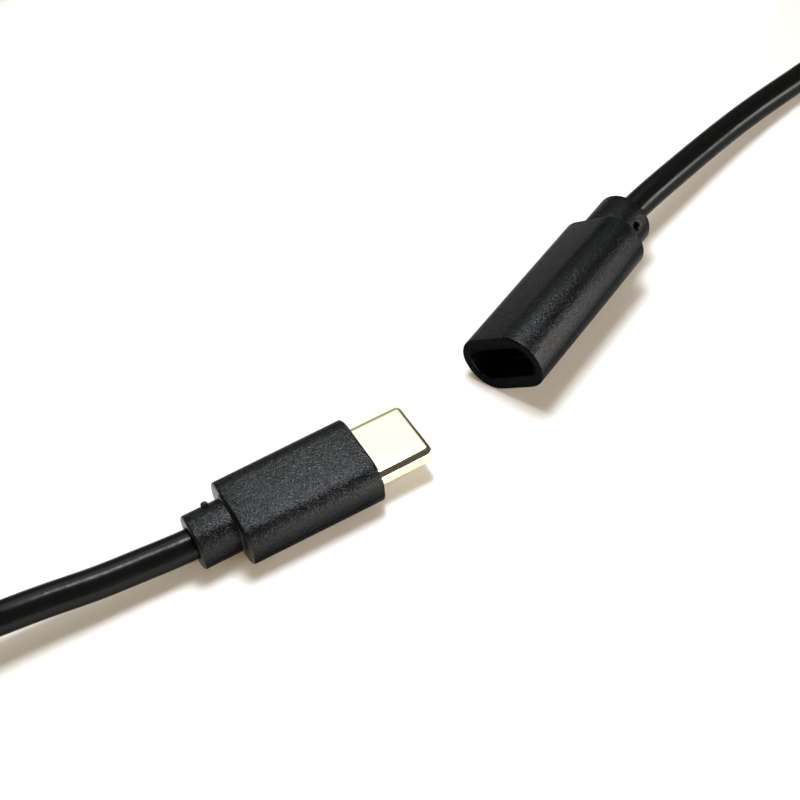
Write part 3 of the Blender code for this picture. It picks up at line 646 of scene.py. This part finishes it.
class PlugMoulding(bpy.types.Operator):
    """Builds the plug's black moulding with its stepped neck"""

    bl_idname = "adapter_lead.plug_moulding"
    bl_label = "Mould the plug"

    def execute(self, context):
        sizes, colours = context.scene.adapter_plug, context.scene.adapter_colours
        width, thickness, edge = sizes.width, sizes.thickness, sizes.edge
        # The opening for the shell, in a front wall of 0.8 mm, with its rim broken by 0.06 mm
        front_wall, broken, room = 0.8 * MM, 0.06 * MM, 0.2 * MM
        way = (sizes.shell_width + room, sizes.shell_thickness + room)
        way_corner = 1.29 * MM
        rings = [rounded_ring(-front_wall, *way, way_corner), rounded_ring(-broken, *way, way_corner)]
        rings.append(inset_ring(0.0, *way, way_corner, -broken))
        for depth, inset in edge_steps(edge):
            rings.append(inset_ring(-depth, width, thickness, sizes.corner, inset))
        for share in (0.25, 0.5, 0.75):
            narrow = 1 - (1 - sizes.draft) * share
            rings.append(rounded_ring(-sizes.length * share, width * narrow, thickness, sizes.corner))
        rear = width * sizes.draft
        for depth, inset in edge_steps(edge)[::-1]:
            rings.append(inset_ring(-sizes.length + depth, rear, thickness, sizes.corner, inset))
        # The neck grows out of the body with a hollow fillet
        root = 0.2 * MM
        for depth, inset in edge_steps(root, 3):
            side = sizes.neck + 2 * (root - depth)
            rings.append(rounded_ring(-sizes.length - (root - inset), side, side, sizes.neck_corner))
        end = -sizes.length - sizes.neck_length
        for depth, inset in edge_steps(edge)[::-1]:
            rings.append(inset_ring(end + depth, sizes.neck, sizes.neck, sizes.neck_corner, inset))
        rings.append(round_ring(end, BORE_MOUTH))
        rings.append(round_ring(end + BORE_CHAMFER, BORE))
        # The hollow that the covers round the board fill
        hollow_end = -12.6 * MM
        hollow = (9.2 * MM, 4.7 * MM, 2.0 * MM)
        rings.append(round_ring(hollow_end, BORE))
        rings.append(rounded_ring(hollow_end, *hollow))
        rings.append(rounded_ring(-front_wall, *hollow))
        shape = combined(lofted(rings, capped=False), self.gate_stub(sizes, end), "UNION")
        body = object_from("plug_moulding", shape, PLUG_PLACE, moulding_pvc(colours))
        # The rear faces closed on flat steel, so they came out smooth and catch more light
        smooth = plain_resin("smooth_shut_off_pvc", tuple(colours.moulding), 0.35, sheen=0.4)
        paint_end(body, PLUG_PLACE, (-1.0, 0.0, 0.0), sizes.length - edge, smooth)
        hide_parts("plug_overmould")
        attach(body, "root")
        return {"FINISHED"}

    def gate_stub(self, sizes, neck_end):
        """The little stub left where the moulding was cut from its gate, on the neck's upper far corner."""
        corner = sizes.neck / 2 - sizes.neck_corner * (1 - math.sqrt(0.5))
        middle, radius = neck_end + 2.8 * MM, sizes.stub / 2
        # A ball with blunt ends and fuller sides, along the neck
        count, blunt, fullness = 8, 0.04, 0.6
        rings = []
        for step in range(count + 1):
            angle = math.pi * (blunt + (1 - 2 * blunt) * step / count)
            x, across = middle - radius * math.cos(angle), 2 * radius * math.sin(angle) ** fullness
            rings.append([point + Vector((0.0, corner, corner)) for point in round_ring(x, across, 4)])
        return lofted(rings, capped=True)


class PlugShell(bpy.types.Operator):
    """Builds the drawn metal shell with its turned-in nose"""

    bl_idname = "adapter_lead.plug_shell"
    bl_label = "Draw the shell"

    def execute(self, context):
        sizes = context.scene.adapter_plug
        width, thickness, wall = sizes.shell_width, sizes.shell_thickness, sizes.shell_wall
        # It stands 6.8 mm out of the moulding, and 3.5 mm of it is moulded in
        tip, rear, nose = 6.8 * MM, -3.5 * MM, sizes.nose
        corner = thickness / 2
        rings = [rounded_ring(rear, width, thickness, corner)]
        for share in (0.33, 0.66):
            rings.append(rounded_ring(rear + (tip - 2 * nose - rear) * share, width, thickness, corner))
        # The nose turns in over twice its own inset, as a drawn edge does
        for depth, inset in edge_steps(nose, 9)[::-1]:
            rings.append(inset_ring(tip - 2 * depth, width, thickness, corner, inset))
        # Inside, the turned-in lip steps back to the plain wall 0.4 mm behind the tip
        lip, lip_back, lip_front = wall + 0.175 * MM, tip - 0.4 * MM, tip - 0.01 * MM
        for x, inset in ((lip_front, lip), (lip_back, lip), (lip_back, wall), (rear, wall)):
            rings.append(inset_ring(x, width, thickness, corner, inset))
        # Drawn steel under bright nickel: a mirror with a warm cast
        nickel = metal("nickel_plate", tuple(context.scene.adapter_colours.nickel), 0.12, PLUG_HEADING)
        shell = object_from("drawn_shell", lofted(rings, capped=False), PLUG_PLACE, nickel)
        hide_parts("plug_shell")
        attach(shell, "root")
        return {"FINISHED"}


class SocketMoulding(bpy.types.Operator):
    """Builds the socket's black moulding, its mouth and its round neck"""

    bl_idname = "adapter_lead.socket_moulding"
    bl_label = "Mould the socket"

    def execute(self, context):
        sizes, colours = context.scene.adapter_socket, context.scene.adapter_colours
        width, thickness, edge = sizes.width, sizes.thickness, sizes.edge
        mouth = (sizes.mouth_width, sizes.mouth_height)
        front_wall, lead_in = 0.9 * MM, 0.25 * MM
        rings = [rounded_ring(-front_wall, *mouth, sizes.mouth_corner)]
        for depth, inset in edge_steps(lead_in, 3)[::-1]:
            rings.append(inset_ring(-depth, *mouth, sizes.mouth_corner, -inset))
        for depth, inset in edge_steps(edge):
            rings.append(inset_ring(-depth, width, thickness, sizes.corner, inset))
        for depth, inset in edge_steps(edge)[::-1]:
            rings.append(inset_ring(-sizes.length + depth, width, thickness, sizes.corner, inset))
        # The neck, with a ring on each side of the pit so that the cut stays between them
        crease = 0.02 * MM
        rings.append(round_ring(-sizes.length, sizes.neck - crease))
        rings.append(round_ring(-sizes.length - crease, sizes.neck))
        pit_place = -sizes.length - 2.6 * MM
        for side in (0.8 * MM, -0.8 * MM):
            rings.append(round_ring(pit_place + side, sizes.neck))
        end, neck_edge = -sizes.length - sizes.neck_length, 0.45 * MM
        for depth, inset in edge_steps(neck_edge)[::-1]:
            rings.append(round_ring(end + depth, sizes.neck - 2 * inset))
        rings.append(round_ring(end, BORE_MOUTH))
        rings.append(round_ring(end + BORE_CHAMFER, BORE))
        # The hollow that the liner and the inner moulding fill
        hollow_end = -21.1 * MM
        hollow = (10.3 * MM, 5.1 * MM, 2.25 * MM)
        rings.append(round_ring(hollow_end, BORE))
        rings.append(rounded_ring(hollow_end, *hollow))
        rings.append(rounded_ring(-front_wall, *hollow))
        shape = combined(lofted(rings, capped=False), self.pit(sizes, pit_place), "DIFFERENCE")
        body = object_from("socket_moulding", shape, SOCKET_PLACE, moulding_pvc(colours))
        # The end face came out duller than the sides, and hardly shines
        matte = spark_textured_pvc("matte_end_face_pvc", tuple(colours.moulding), 0.03, 0.05 * MM)
        paint_end(body, SOCKET_PLACE, (1.0, 0.0, 0.0), -edge, matte)
        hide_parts("socket_overmould")
        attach(body, "root")
        return {"FINISHED"}

    def pit(self, sizes, place):
        """What the pit takes out of the neck: a blind hole with a soft rim, square to the neck."""
        surface, radius = sizes.neck / 2, sizes.pit / 2
        # (height over the neck's middle, radius), from the pit's floor to outside the neck
        profile = (
            (surface - 1.1 * MM, 0.8 * radius),
            (surface - 1.0 * MM, radius),
            (surface - 0.2 * MM, radius),
            (surface - 0.06 * MM, 1.12 * radius),
            (surface + 0.02 * MM, 1.36 * radius),
            (surface + 0.6 * MM, 1.5 * radius),
        )
        turn = Matrix.Translation((place, 0.0, 0.0)) @ Matrix.Rotation(math.radians(90), 4, "Z")
        return lofted([[turn @ p for p in round_ring(x, 2 * r, 5)] for x, r in profile], capped=True)


class Cable(bpy.types.Operator):
    """Lays the round jacketed cable from the plug's neck to the socket's"""

    bl_idname = "adapter_lead.cable"
    bl_label = "Lay the cable"

    def execute(self, context):
        scene = context.scene
        sizes = scene.adapter_cable
        # It runs straight inside each neck, through three points from its end to where it leaves
        halfway = (CABLE_END_IN_PLUG + CABLE_LEAVES_PLUG) / 2
        in_plug = (CABLE_END_IN_PLUG, halfway, CABLE_LEAVES_PLUG)
        halfway = (CABLE_LEAVES_SOCKET + CABLE_END_IN_SOCKET) / 2
        in_socket = (CABLE_LEAVES_SOCKET, halfway, CABLE_END_IN_SOCKET)
        points = [PLUG_PLACE @ Vector((x, 0.0, 0.0)) for x in in_plug]
        points += [Vector(p) for p in CABLE_ROUTE]
        points += [SOCKET_PLACE @ Vector((x, 0.0, 0.0)) for x in in_socket]
        line = smooth_line(points, sizes.spacing)
        curve = bpy.data.curves.new("jacketed_cable", "CURVE")
        curve.dimensions = "3D"
        curve.bevel_depth = sizes.diameter / 2
        curve.bevel_resolution = sizes.sides // 4 - 1
        curve.use_fill_caps = True
        spline = curve.splines.new("POLY")
        spline.points.add(len(line) - 1)
        for point, place in zip(spline.points, line):
            point.co = (*place, 1.0)
        spline.use_smooth = True
        curve.materials.append(extruded_pvc(tuple(scene.adapter_colours.jacket)))
        cable = bpy.data.objects.new("jacketed_cable", curve)
        scene.collection.objects.link(cable)
        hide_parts("cable")
        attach(cable, "root")
        return {"FINISHED"}


class ContactRows(bpy.types.Operator):
    """Sets the plug's gold-flashed contacts in their two rows"""

    bl_idname = "adapter_lead.contact_rows"
    bl_label = "Set the contacts"

    def execute(self, context):
        sizes = context.scene.adapter_plug
        # A thin gold flash over stamped copper: yellow, and as soft in its shine as the strip under it
        gold = metal("gold_flash", tuple(context.scene.adapter_colours.gold), 0.22, PLUG_HEADING)
        rows = object_from("contact_rows", self.contact(), Matrix(), gold)
        step = rows.modifiers.new("rows", "NODES")
        step.node_group = self.rows_tree()
        for item in step.node_group.interface.items_tree:
            if item.name == "Pitch":
                step[item.identifier] = sizes.contact_pitch
            if item.name == "Material":
                step[item.identifier] = gold
        plain = evaluated_mesh(rows)
        rows.modifiers.clear()
        plain.transform(PLUG_PLACE)
        rows.data = plain
        contacts = sorted(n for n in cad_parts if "contact_" in n)
        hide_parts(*contacts)
        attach(rows, "root")
        return {"FINISHED"}

    def contact(self):
        """One upper contact in the plug's middle plane: a strip with a smooth bump and a lifted tip."""
        level, rear, tip = 0.525 * MM, -4.6 * MM, 5.45 * MM
        bump_height, lift = 0.2 * MM, 0.05 * MM
        thickness, width, edge = 0.15 * MM, 0.25 * MM, 0.03 * MM
        bend = tip - 7 * bump_height
        path = [(rear, level), (bend, level)]
        count = 14
        for i in range(1, count + 1):
            # The bump fills nine tenths of the bent stretch, and the last fifth of it lifts
            share = i / count
            drop = bump_height * math.sin(math.pi * min(1.0, 1.12 * share)) ** 2
            height = level - drop + lift * max(0.0, 5 * share - 4)
            path.append((bend + share * (tip - bend), height))
        rings = []
        for i, (x, z) in enumerate(path):
            before, after = path[max(i - 1, 0)], path[min(i + 1, len(path) - 1)]
            lean = math.atan2(after[1] - before[1], after[0] - before[0])
            ring = rounded_ring(0.0, width, thickness, edge, per_corner=3)
            turn, middle = Matrix.Rotation(-lean, 3, "Y"), Vector((x, 0.0, z))
            rings.append([turn @ point + middle for point in ring])
        return lofted(rings, capped=True)

    def rows_tree(self):
        """Repeats the contact at places 1, 4, 9 and 12 of both rows, and at place 5 of the upper one."""
        tree = bpy.data.node_groups.new("contact_rows", "GeometryNodeTree")
        tree.interface.new_socket("Geometry", in_out="INPUT", socket_type="NodeSocketGeometry")
        tree.interface.new_socket("Pitch", in_out="INPUT", socket_type="NodeSocketFloat")
        tree.interface.new_socket("Material", in_out="INPUT", socket_type="NodeSocketMaterial")
        tree.interface.new_socket("Geometry", in_out="OUTPUT", socket_type="NodeSocketGeometry")
        given = add(tree, "NodeGroupInput").outputs
        pitch = given["Pitch"]

        def times(factor):
            """The pitch times this factor."""
            made = add(tree, "ShaderNodeMath", {"operation": "MULTIPLY"}, {1: factor}, {0: pitch})
            return made.outputs[0]

        # Twelve places, of which place 1 is 5.5 pitches from the middle
        first = add(tree, "ShaderNodeCombineXYZ", links={"Y": times(-5.5)}).outputs[0]
        step = add(tree, "ShaderNodeCombineXYZ", links={"Y": pitch}).outputs[0]
        places = add(
            tree,
            "GeometryNodeMeshLine",
            {"mode": "OFFSET"},
            {"Count": 12},
            {"Start Location": first, "Offset": step},
        )
        index = add(tree, "GeometryNodeInputIndex").outputs[0]

        def on_every(count, rest):
            """1 at the places whose index leaves this rest when it is divided by the count."""
            left = add(tree, "ShaderNodeMath", {"operation": "MODULO"}, {1: count}, {0: index})
            same = {1: rest, 2: 0.1}
            return add(
                tree, "ShaderNodeMath", {"operation": "COMPARE"}, same, {0: left.outputs[0]}
            ).outputs[0]

        # Counted from 0, the fitted places are 0 and 11, and 3 and 8
        fitted = add(
            tree,
            "ShaderNodeMath",
            {"operation": "MAXIMUM"},
            links={0: on_every(11.0, 0.0), 1: on_every(5.0, 3.0)},
        )
        upper = add(
            tree,
            "GeometryNodeInstanceOnPoints",
            links={
                "Points": places.outputs["Mesh"],
                "Selection": fitted.outputs[0],
                "Instance": given["Geometry"],
            },
        )
        # The lower row is the upper one turned half round its own length
        lower = add(
            tree,
            "GeometryNodeTransform",
            values={"Rotation": (math.pi, 0.0, 0.0)},
            links={"Geometry": upper.outputs["Instances"]},
        )
        # The control contact stands 1.5 pitches from the middle
        beside = add(tree, "ShaderNodeCombineXYZ", links={"Y": times(1.5)}).outputs[0]
        control = add(
            tree, "GeometryNodeTransform", links={"Geometry": given["Geometry"], "Translation": beside}
        )
        both = add(tree, "GeometryNodeJoinGeometry")
        for source in (control.outputs["Geometry"], lower.outputs["Geometry"], upper.outputs["Instances"]):
            tree.links.new(source, both.inputs["Geometry"])
        real = add(tree, "GeometryNodeRealizeInstances", links={"Geometry": both.outputs["Geometry"]})
        finished = add(
            tree,
            "GeometryNodeSetMaterial",
            links={"Geometry": real.outputs["Geometry"], "Material": given["Material"]},
        )
        add(tree, "NodeGroupOutput", links={"Geometry": finished.outputs["Geometry"]})
        return tree


class PlugInside(bpy.types.Operator):
    """Finishes the resin block, the latch plate, the board and its covers"""

    bl_idname = "adapter_lead.plug_inside"
    bl_label = "Finish the plug's inside"

    def execute(self, context):
        # Moulded nylon with glass in it: charcoal, and dull where the fibres reach the skin
        paint(["plug_housing"], plain_resin("glass_filled_nylon", hex_colour("#1b1b1c"), 0.45))
        # Cold-rolled steel, stamped: a grey half-mirror with roll marks
        paint(["latch_plate"], metal("rolled_spring_steel", hex_colour("#c9c8c4"), 0.28, PLUG_HEADING))
        # Folded tinplate: paler, and softer than the rolled steel
        tinplate = metal("tinned_sheet", hex_colour("#d3d4d6"), 0.35, PLUG_HEADING)
        paint(["upper_cover", "lower_cover"], tinplate)
        # Glass board under green lacquer: even, with a wet shine
        paint(["plug_board"], plain_resin("solder_mask", hex_colour("#1f5c34"), 0.35))
        # Epoxy moulded round a chip: dark grey and matte
        epoxy = plain_resin("moulded_epoxy", hex_colour("#2b2b2d"), 0.5)
        paint(["power_controller", "board_resistor"], epoxy)
        # Sintered ceramic: unglazed light brown
        paint(["board_capacitor"], plain_resin("fired_ceramic", hex_colour("#b8966c"), 0.5))
        return {"FINISHED"}


class SocketInside(bpy.types.Operator):
    """Finishes the liner, the pin, the leaf contact and the inner moulding"""

    bl_idname = "adapter_lead.socket_inside"
    bl_label = "Finish the socket's inside"

    def execute(self, context):
        # Nylon moulded in a blasted tool: it swallows the light in the mouth
        paint(["socket_liner"], plain_resin("matte_black_nylon", hex_colour("#0e0e0f"), 0.6, sheen=0.1))
        # Nickel-plated spring steel, coloured dark grey as painted shade for its place deep in the mouth,
        # with a soft shine
        paint(["outer_contact"], metal("spring_steel_painted_shade", hex_colour("#33353a"), 0.45, SOCKET_HEADING))
        # Brass bar, turned: yellow and bright
        paint(["centre_pin"], metal("turned_brass", hex_colour("#d8b96e"), 0.25, SOCKET_HEADING))
        # Polyethylene moulded over the soldered tails: milky and waxy
        paint(["socket_inner_mould"], plain_resin("milky_polyethylene", hex_colour("#e4e2d8"), 0.45))
        return {"FINISHED"}


class Cores(bpy.types.Operator):
    """Finishes the two insulated cores at each end and their tinned ends"""

    bl_idname = "adapter_lead.cores"
    bl_label = "Finish the cores"

    def execute(self, context):
        nodes = sorted(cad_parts)
        # PVC drawn over the strands, one colour for each pole, and the strands dipped in tin
        red = plain_resin("red_core_pvc", hex_colour("#b3201c"), 0.4)
        black = plain_resin("black_core_pvc", hex_colour("#222223"), 0.4)
        paint([n for n in nodes if n.startswith("positive_core")], red)
        paint([n for n in nodes if n.startswith("negative_core")], black)
        tinned = metal("tinned_strands", hex_colour("#d0d0d2"), 0.35, PLUG_HEADING)
        paint([n for n in nodes if "wire_end" in n], tinned)
        return {"FINISHED"}


class Stage(bpy.types.Operator):
    """Sets the white table, the room's light and the camera of the photograph"""

    bl_idname = "adapter_lead.stage"
    bl_label = "Set the stage"

    def execute(self, context):
        scene = context.scene
        scene.view_settings.view_transform = "Standard"
        scene.world = room_light()
        self.lay_table(scene)
        self.hang_key(scene)
        self.open_window(scene)
        self.aim_camera(scene)
        return {"FINISHED"}

    def lay_table(self, scene):
        """A flat table whose far edge lies just past the cable, so that upper faces mirror the room there."""
        reach, far_edge = 0.6, 0.125
        corners = ((-reach, -reach), (reach, -reach), (reach, far_edge), (-reach, far_edge))
        shape = bmesh.new()
        shape.faces.new([shape.verts.new((x, y, 0.0)) for x, y in corners])
        mesh = bpy.data.meshes.new("table")
        shape.to_mesh(mesh)
        shape.free()
        mesh.materials.append(white_table())
        table = bpy.data.objects.new("table", mesh)
        scene.collection.objects.link(table)

    def lamp(self, scene, name, place, target, power, size):
        """One area lamp that looks from its place at the target."""
        light = bpy.data.lights.new(name, "AREA")
        light.shape = "DISK"
        light.size = size
        light.energy = power
        obj = bpy.data.objects.new(name, light)
        obj.location = place
        obj.rotation_euler = (Vector(target) - Vector(place)).to_track_quat("-Z", "Y").to_euler()
        scene.collection.objects.link(obj)
        return obj

    def hang_key(self, scene):
        """The small cool lamp straight over the table that casts the shadows, even at any distance."""
        settings = scene.adapter_stage
        under = (0.011, 0.035, 0.0)
        place = (under[0], under[1], 0.13)
        obj = self.lamp(scene, "key", place, under, settings.key_power, settings.key_size)
        obj.data.color = hex_colour("#f7f9ff")
        obj.data.use_nodes = True
        tree = obj.data.node_tree
        even = add(tree, "ShaderNodeLightFalloff", values={"Strength": 1.0})
        tree.links.new(even.outputs["Constant"], tree.nodes["Emission"].inputs["Strength"])

    def open_window(self, scene):
        """The long low window at the right, a little warm, that lights both connectors' near flanks."""
        bearing, distance, height = math.radians(-18), 0.5, 0.1
        length, depth = 0.62, 0.14
        place = (distance * math.cos(bearing), distance * math.sin(bearing), height)
        target = (0.02, 0.01, 0.0)
        obj = self.lamp(scene, "window", place, target, scene.adapter_stage.window_power, length)
        obj.data.shape = "RECTANGLE"
        obj.data.size_y = depth
        obj.data.color = hex_colour("#fffaf3")

    def aim_camera(self, scene):
        """The photograph's camera, as fitted to the outlines of both connectors."""
        camera = bpy.data.cameras.new("camera")
        camera.lens = scene.adapter_stage.lens
        camera.sensor_width = 36.0
        camera.clip_start = 0.01
        eye = bpy.data.objects.new("camera", camera)
        place = (16.45 * MM, -88.17 * MM, 124.86 * MM)
        pan, tilt, roll = math.radians(3.09), math.radians(39.49), math.radians(-4.61)
        eye.matrix_world = (
            Matrix.Translation(place)
            @ Matrix.Rotation(pan, 4, "Z")
            @ Matrix.Rotation(tilt, 4, "X")
            @ Matrix.Rotation(roll, 4, "Z")
        )
        scene.collection.objects.link(eye)
        scene.camera = eye


def background_rays(tree):
    """Two sockets: 1 for rays from the camera or through a clear piece, and 1 for a mirror's rays too."""
    rays = add(tree, "ShaderNodeLightPath")
    straight = add(
        tree,
        "ShaderNodeMath",
        {"operation": "MAXIMUM"},
        links={0: rays.outputs["Is Camera Ray"], 1: rays.outputs["Is Transmission Ray"]},
    )
    mirrored = add(
        tree,
        "ShaderNodeMath",
        {"operation": "MAXIMUM"},
        links={0: straight.outputs[0], 1: rays.outputs["Is Glossy Ray"]},
    )
    return straight.outputs[0], mirrored.outputs[0]


def white_table():
    """White laminate: matte, and a little over white to the eye, so that only the shadows show on it."""
    white = bpy.data.materials.new("white_laminate")
    white.use_nodes = True
    tree = white.node_tree
    tree.nodes.clear()
    matte = add(tree, "ShaderNodeBsdfDiffuse", values={"Color": (*hex_colour("#ededec"), 1.0)})
    _, mirrored = background_rays(tree)
    lift = add(
        tree,
        "ShaderNodeEmission",
        values={"Color": (*hex_colour("#695942"), 1.0)},
        links={"Strength": mirrored},
    )
    both = add(tree, "ShaderNodeAddShader", links={0: matte.outputs["BSDF"], 1: lift.outputs["Emission"]})
    add(tree, "ShaderNodeOutputMaterial", links={"Surface": both.outputs["Shader"]})
    return white


def room_light():
    """The room as the object sees it: dim and warm, bright behind the table and brightest overhead."""
    world = bpy.data.worlds.new("room")
    world.use_nodes = True
    tree = world.node_tree
    tree.nodes.clear()
    towards = add(tree, "ShaderNodeTexCoord").outputs["Generated"]

    def patch(direction, reach, soft, colour, strength, under):
        """A round patch of light in one direction, with its radius and its edge's softness in degrees."""
        centre = Vector(direction).normalized()
        dot = add(tree, "ShaderNodeVectorMath", {"operation": "DOT_PRODUCT"}, {1: centre}, {0: towards})
        edge = add(
            tree,
            "ShaderNodeMapRange",
            {"interpolation_type": "SMOOTHSTEP"},
            {
                "From Min": math.cos(math.radians(reach + soft)),
                "From Max": math.cos(math.radians(reach - soft)),
            },
            {"Value": dot.outputs["Value"]},
        )
        light = add(
            tree, "ShaderNodeBackground", values={"Color": (*hex_colour(colour), 1.0), "Strength": strength}
        )
        return add(
            tree,
            "ShaderNodeMixShader",
            links={0: edge.outputs["Result"], 1: under, 2: light.outputs["Background"]},
        ).outputs["Shader"]

    dim = add(
        tree, "ShaderNodeBackground", values={"Color": (*hex_colour("#ffeecb"), 1.0), "Strength": 0.11}
    )
    # The green of what stands behind the table, low down and then brighter above it
    light = patch((-0.3, 0.95, 0.0), 34.0, 10.0, "#eaffcb", 0.3, dim.outputs["Background"])
    light = patch((-0.1, 0.93, 0.4), 19.0, 10.0, "#eeffcb", 0.5, light)
    # The white ceiling lamp's spread, which the upper faces mirror
    light = patch((-0.04, 0.53, 0.85), 21.0, 6.0, "#fcfffd", 1.5, light)
    straight, _ = background_rays(tree)
    backdrop = add(tree, "ShaderNodeBackground", values={"Color": (1.0, 1.0, 1.0, 1.0), "Strength": 1.0})
    mix = add(
        tree,
        "ShaderNodeMixShader",
        links={0: straight, 1: light, 2: backdrop.outputs["Background"]},
    )
    add(tree, "ShaderNodeOutputWorld", links={"Surface": mix.outputs["Shader"]})
    return world


class LeadPanel(bpy.types.Panel):
    """Sizes, colours and steps of the adapter lead"""

    bl_idname = "VIEW3D_PT_adapter_lead"
    bl_label = "Adapter Lead"
    bl_space_type = "VIEW_3D"
    bl_region_type = "UI"
    bl_category = "Adapter Lead"

    def draw(self, context):
        for name, heading in GROUPS:
            box = self.layout.box()
            box.label(text=heading)
            group = getattr(context.scene, name)
            for prop in group.bl_rna.properties:
                if prop.identifier not in {"rna_type", "name"}:
                    box.prop(group, prop.identifier)
        for operator in OPERATORS:
            self.layout.operator(operator.bl_idname)


GROUPS = (
    ("adapter_plug", "Plug"),
    ("adapter_socket", "Socket"),
    ("adapter_cable", "Cable"),
    ("adapter_colours", "Colours"),
    ("adapter_stage", "Stage"),
)
PROPERTY_GROUPS = (PlugSizes, SocketSizes, CableSizes, FinishColours, StageSettings)
OPERATORS = (
    PlugMoulding,
    PlugShell,
    SocketMoulding,
    Cable,
    ContactRows,
    PlugInside,
    SocketInside,
    Cores,
    Stage,
)
CLASSES = (*PROPERTY_GROUPS, *OPERATORS, LeadPanel)


def register():
    for kind in CLASSES:
        bpy.utils.register_class(kind)
    for (name, _), kind in zip(GROUPS, PROPERTY_GROUPS):
        setattr(bpy.types.Scene, name, PointerProperty(type=kind))


def unregister():
    for name, _ in GROUPS:
        delattr(bpy.types.Scene, name)
    for kind in reversed(CLASSES):
        bpy.utils.unregister_class(kind)


def main():
    register()
    bpy.ops.adapter_lead.plug_moulding()
    bpy.ops.adapter_lead.plug_shell()
    bpy.ops.adapter_lead.socket_moulding()
    bpy.ops.adapter_lead.cable()
    bpy.ops.adapter_lead.contact_rows()
    bpy.ops.adapter_lead.plug_inside()
    bpy.ops.adapter_lead.socket_inside()
    bpy.ops.adapter_lead.cores()
    bpy.ops.adapter_lead.stage()


if __name__ == "__main__":
    main()
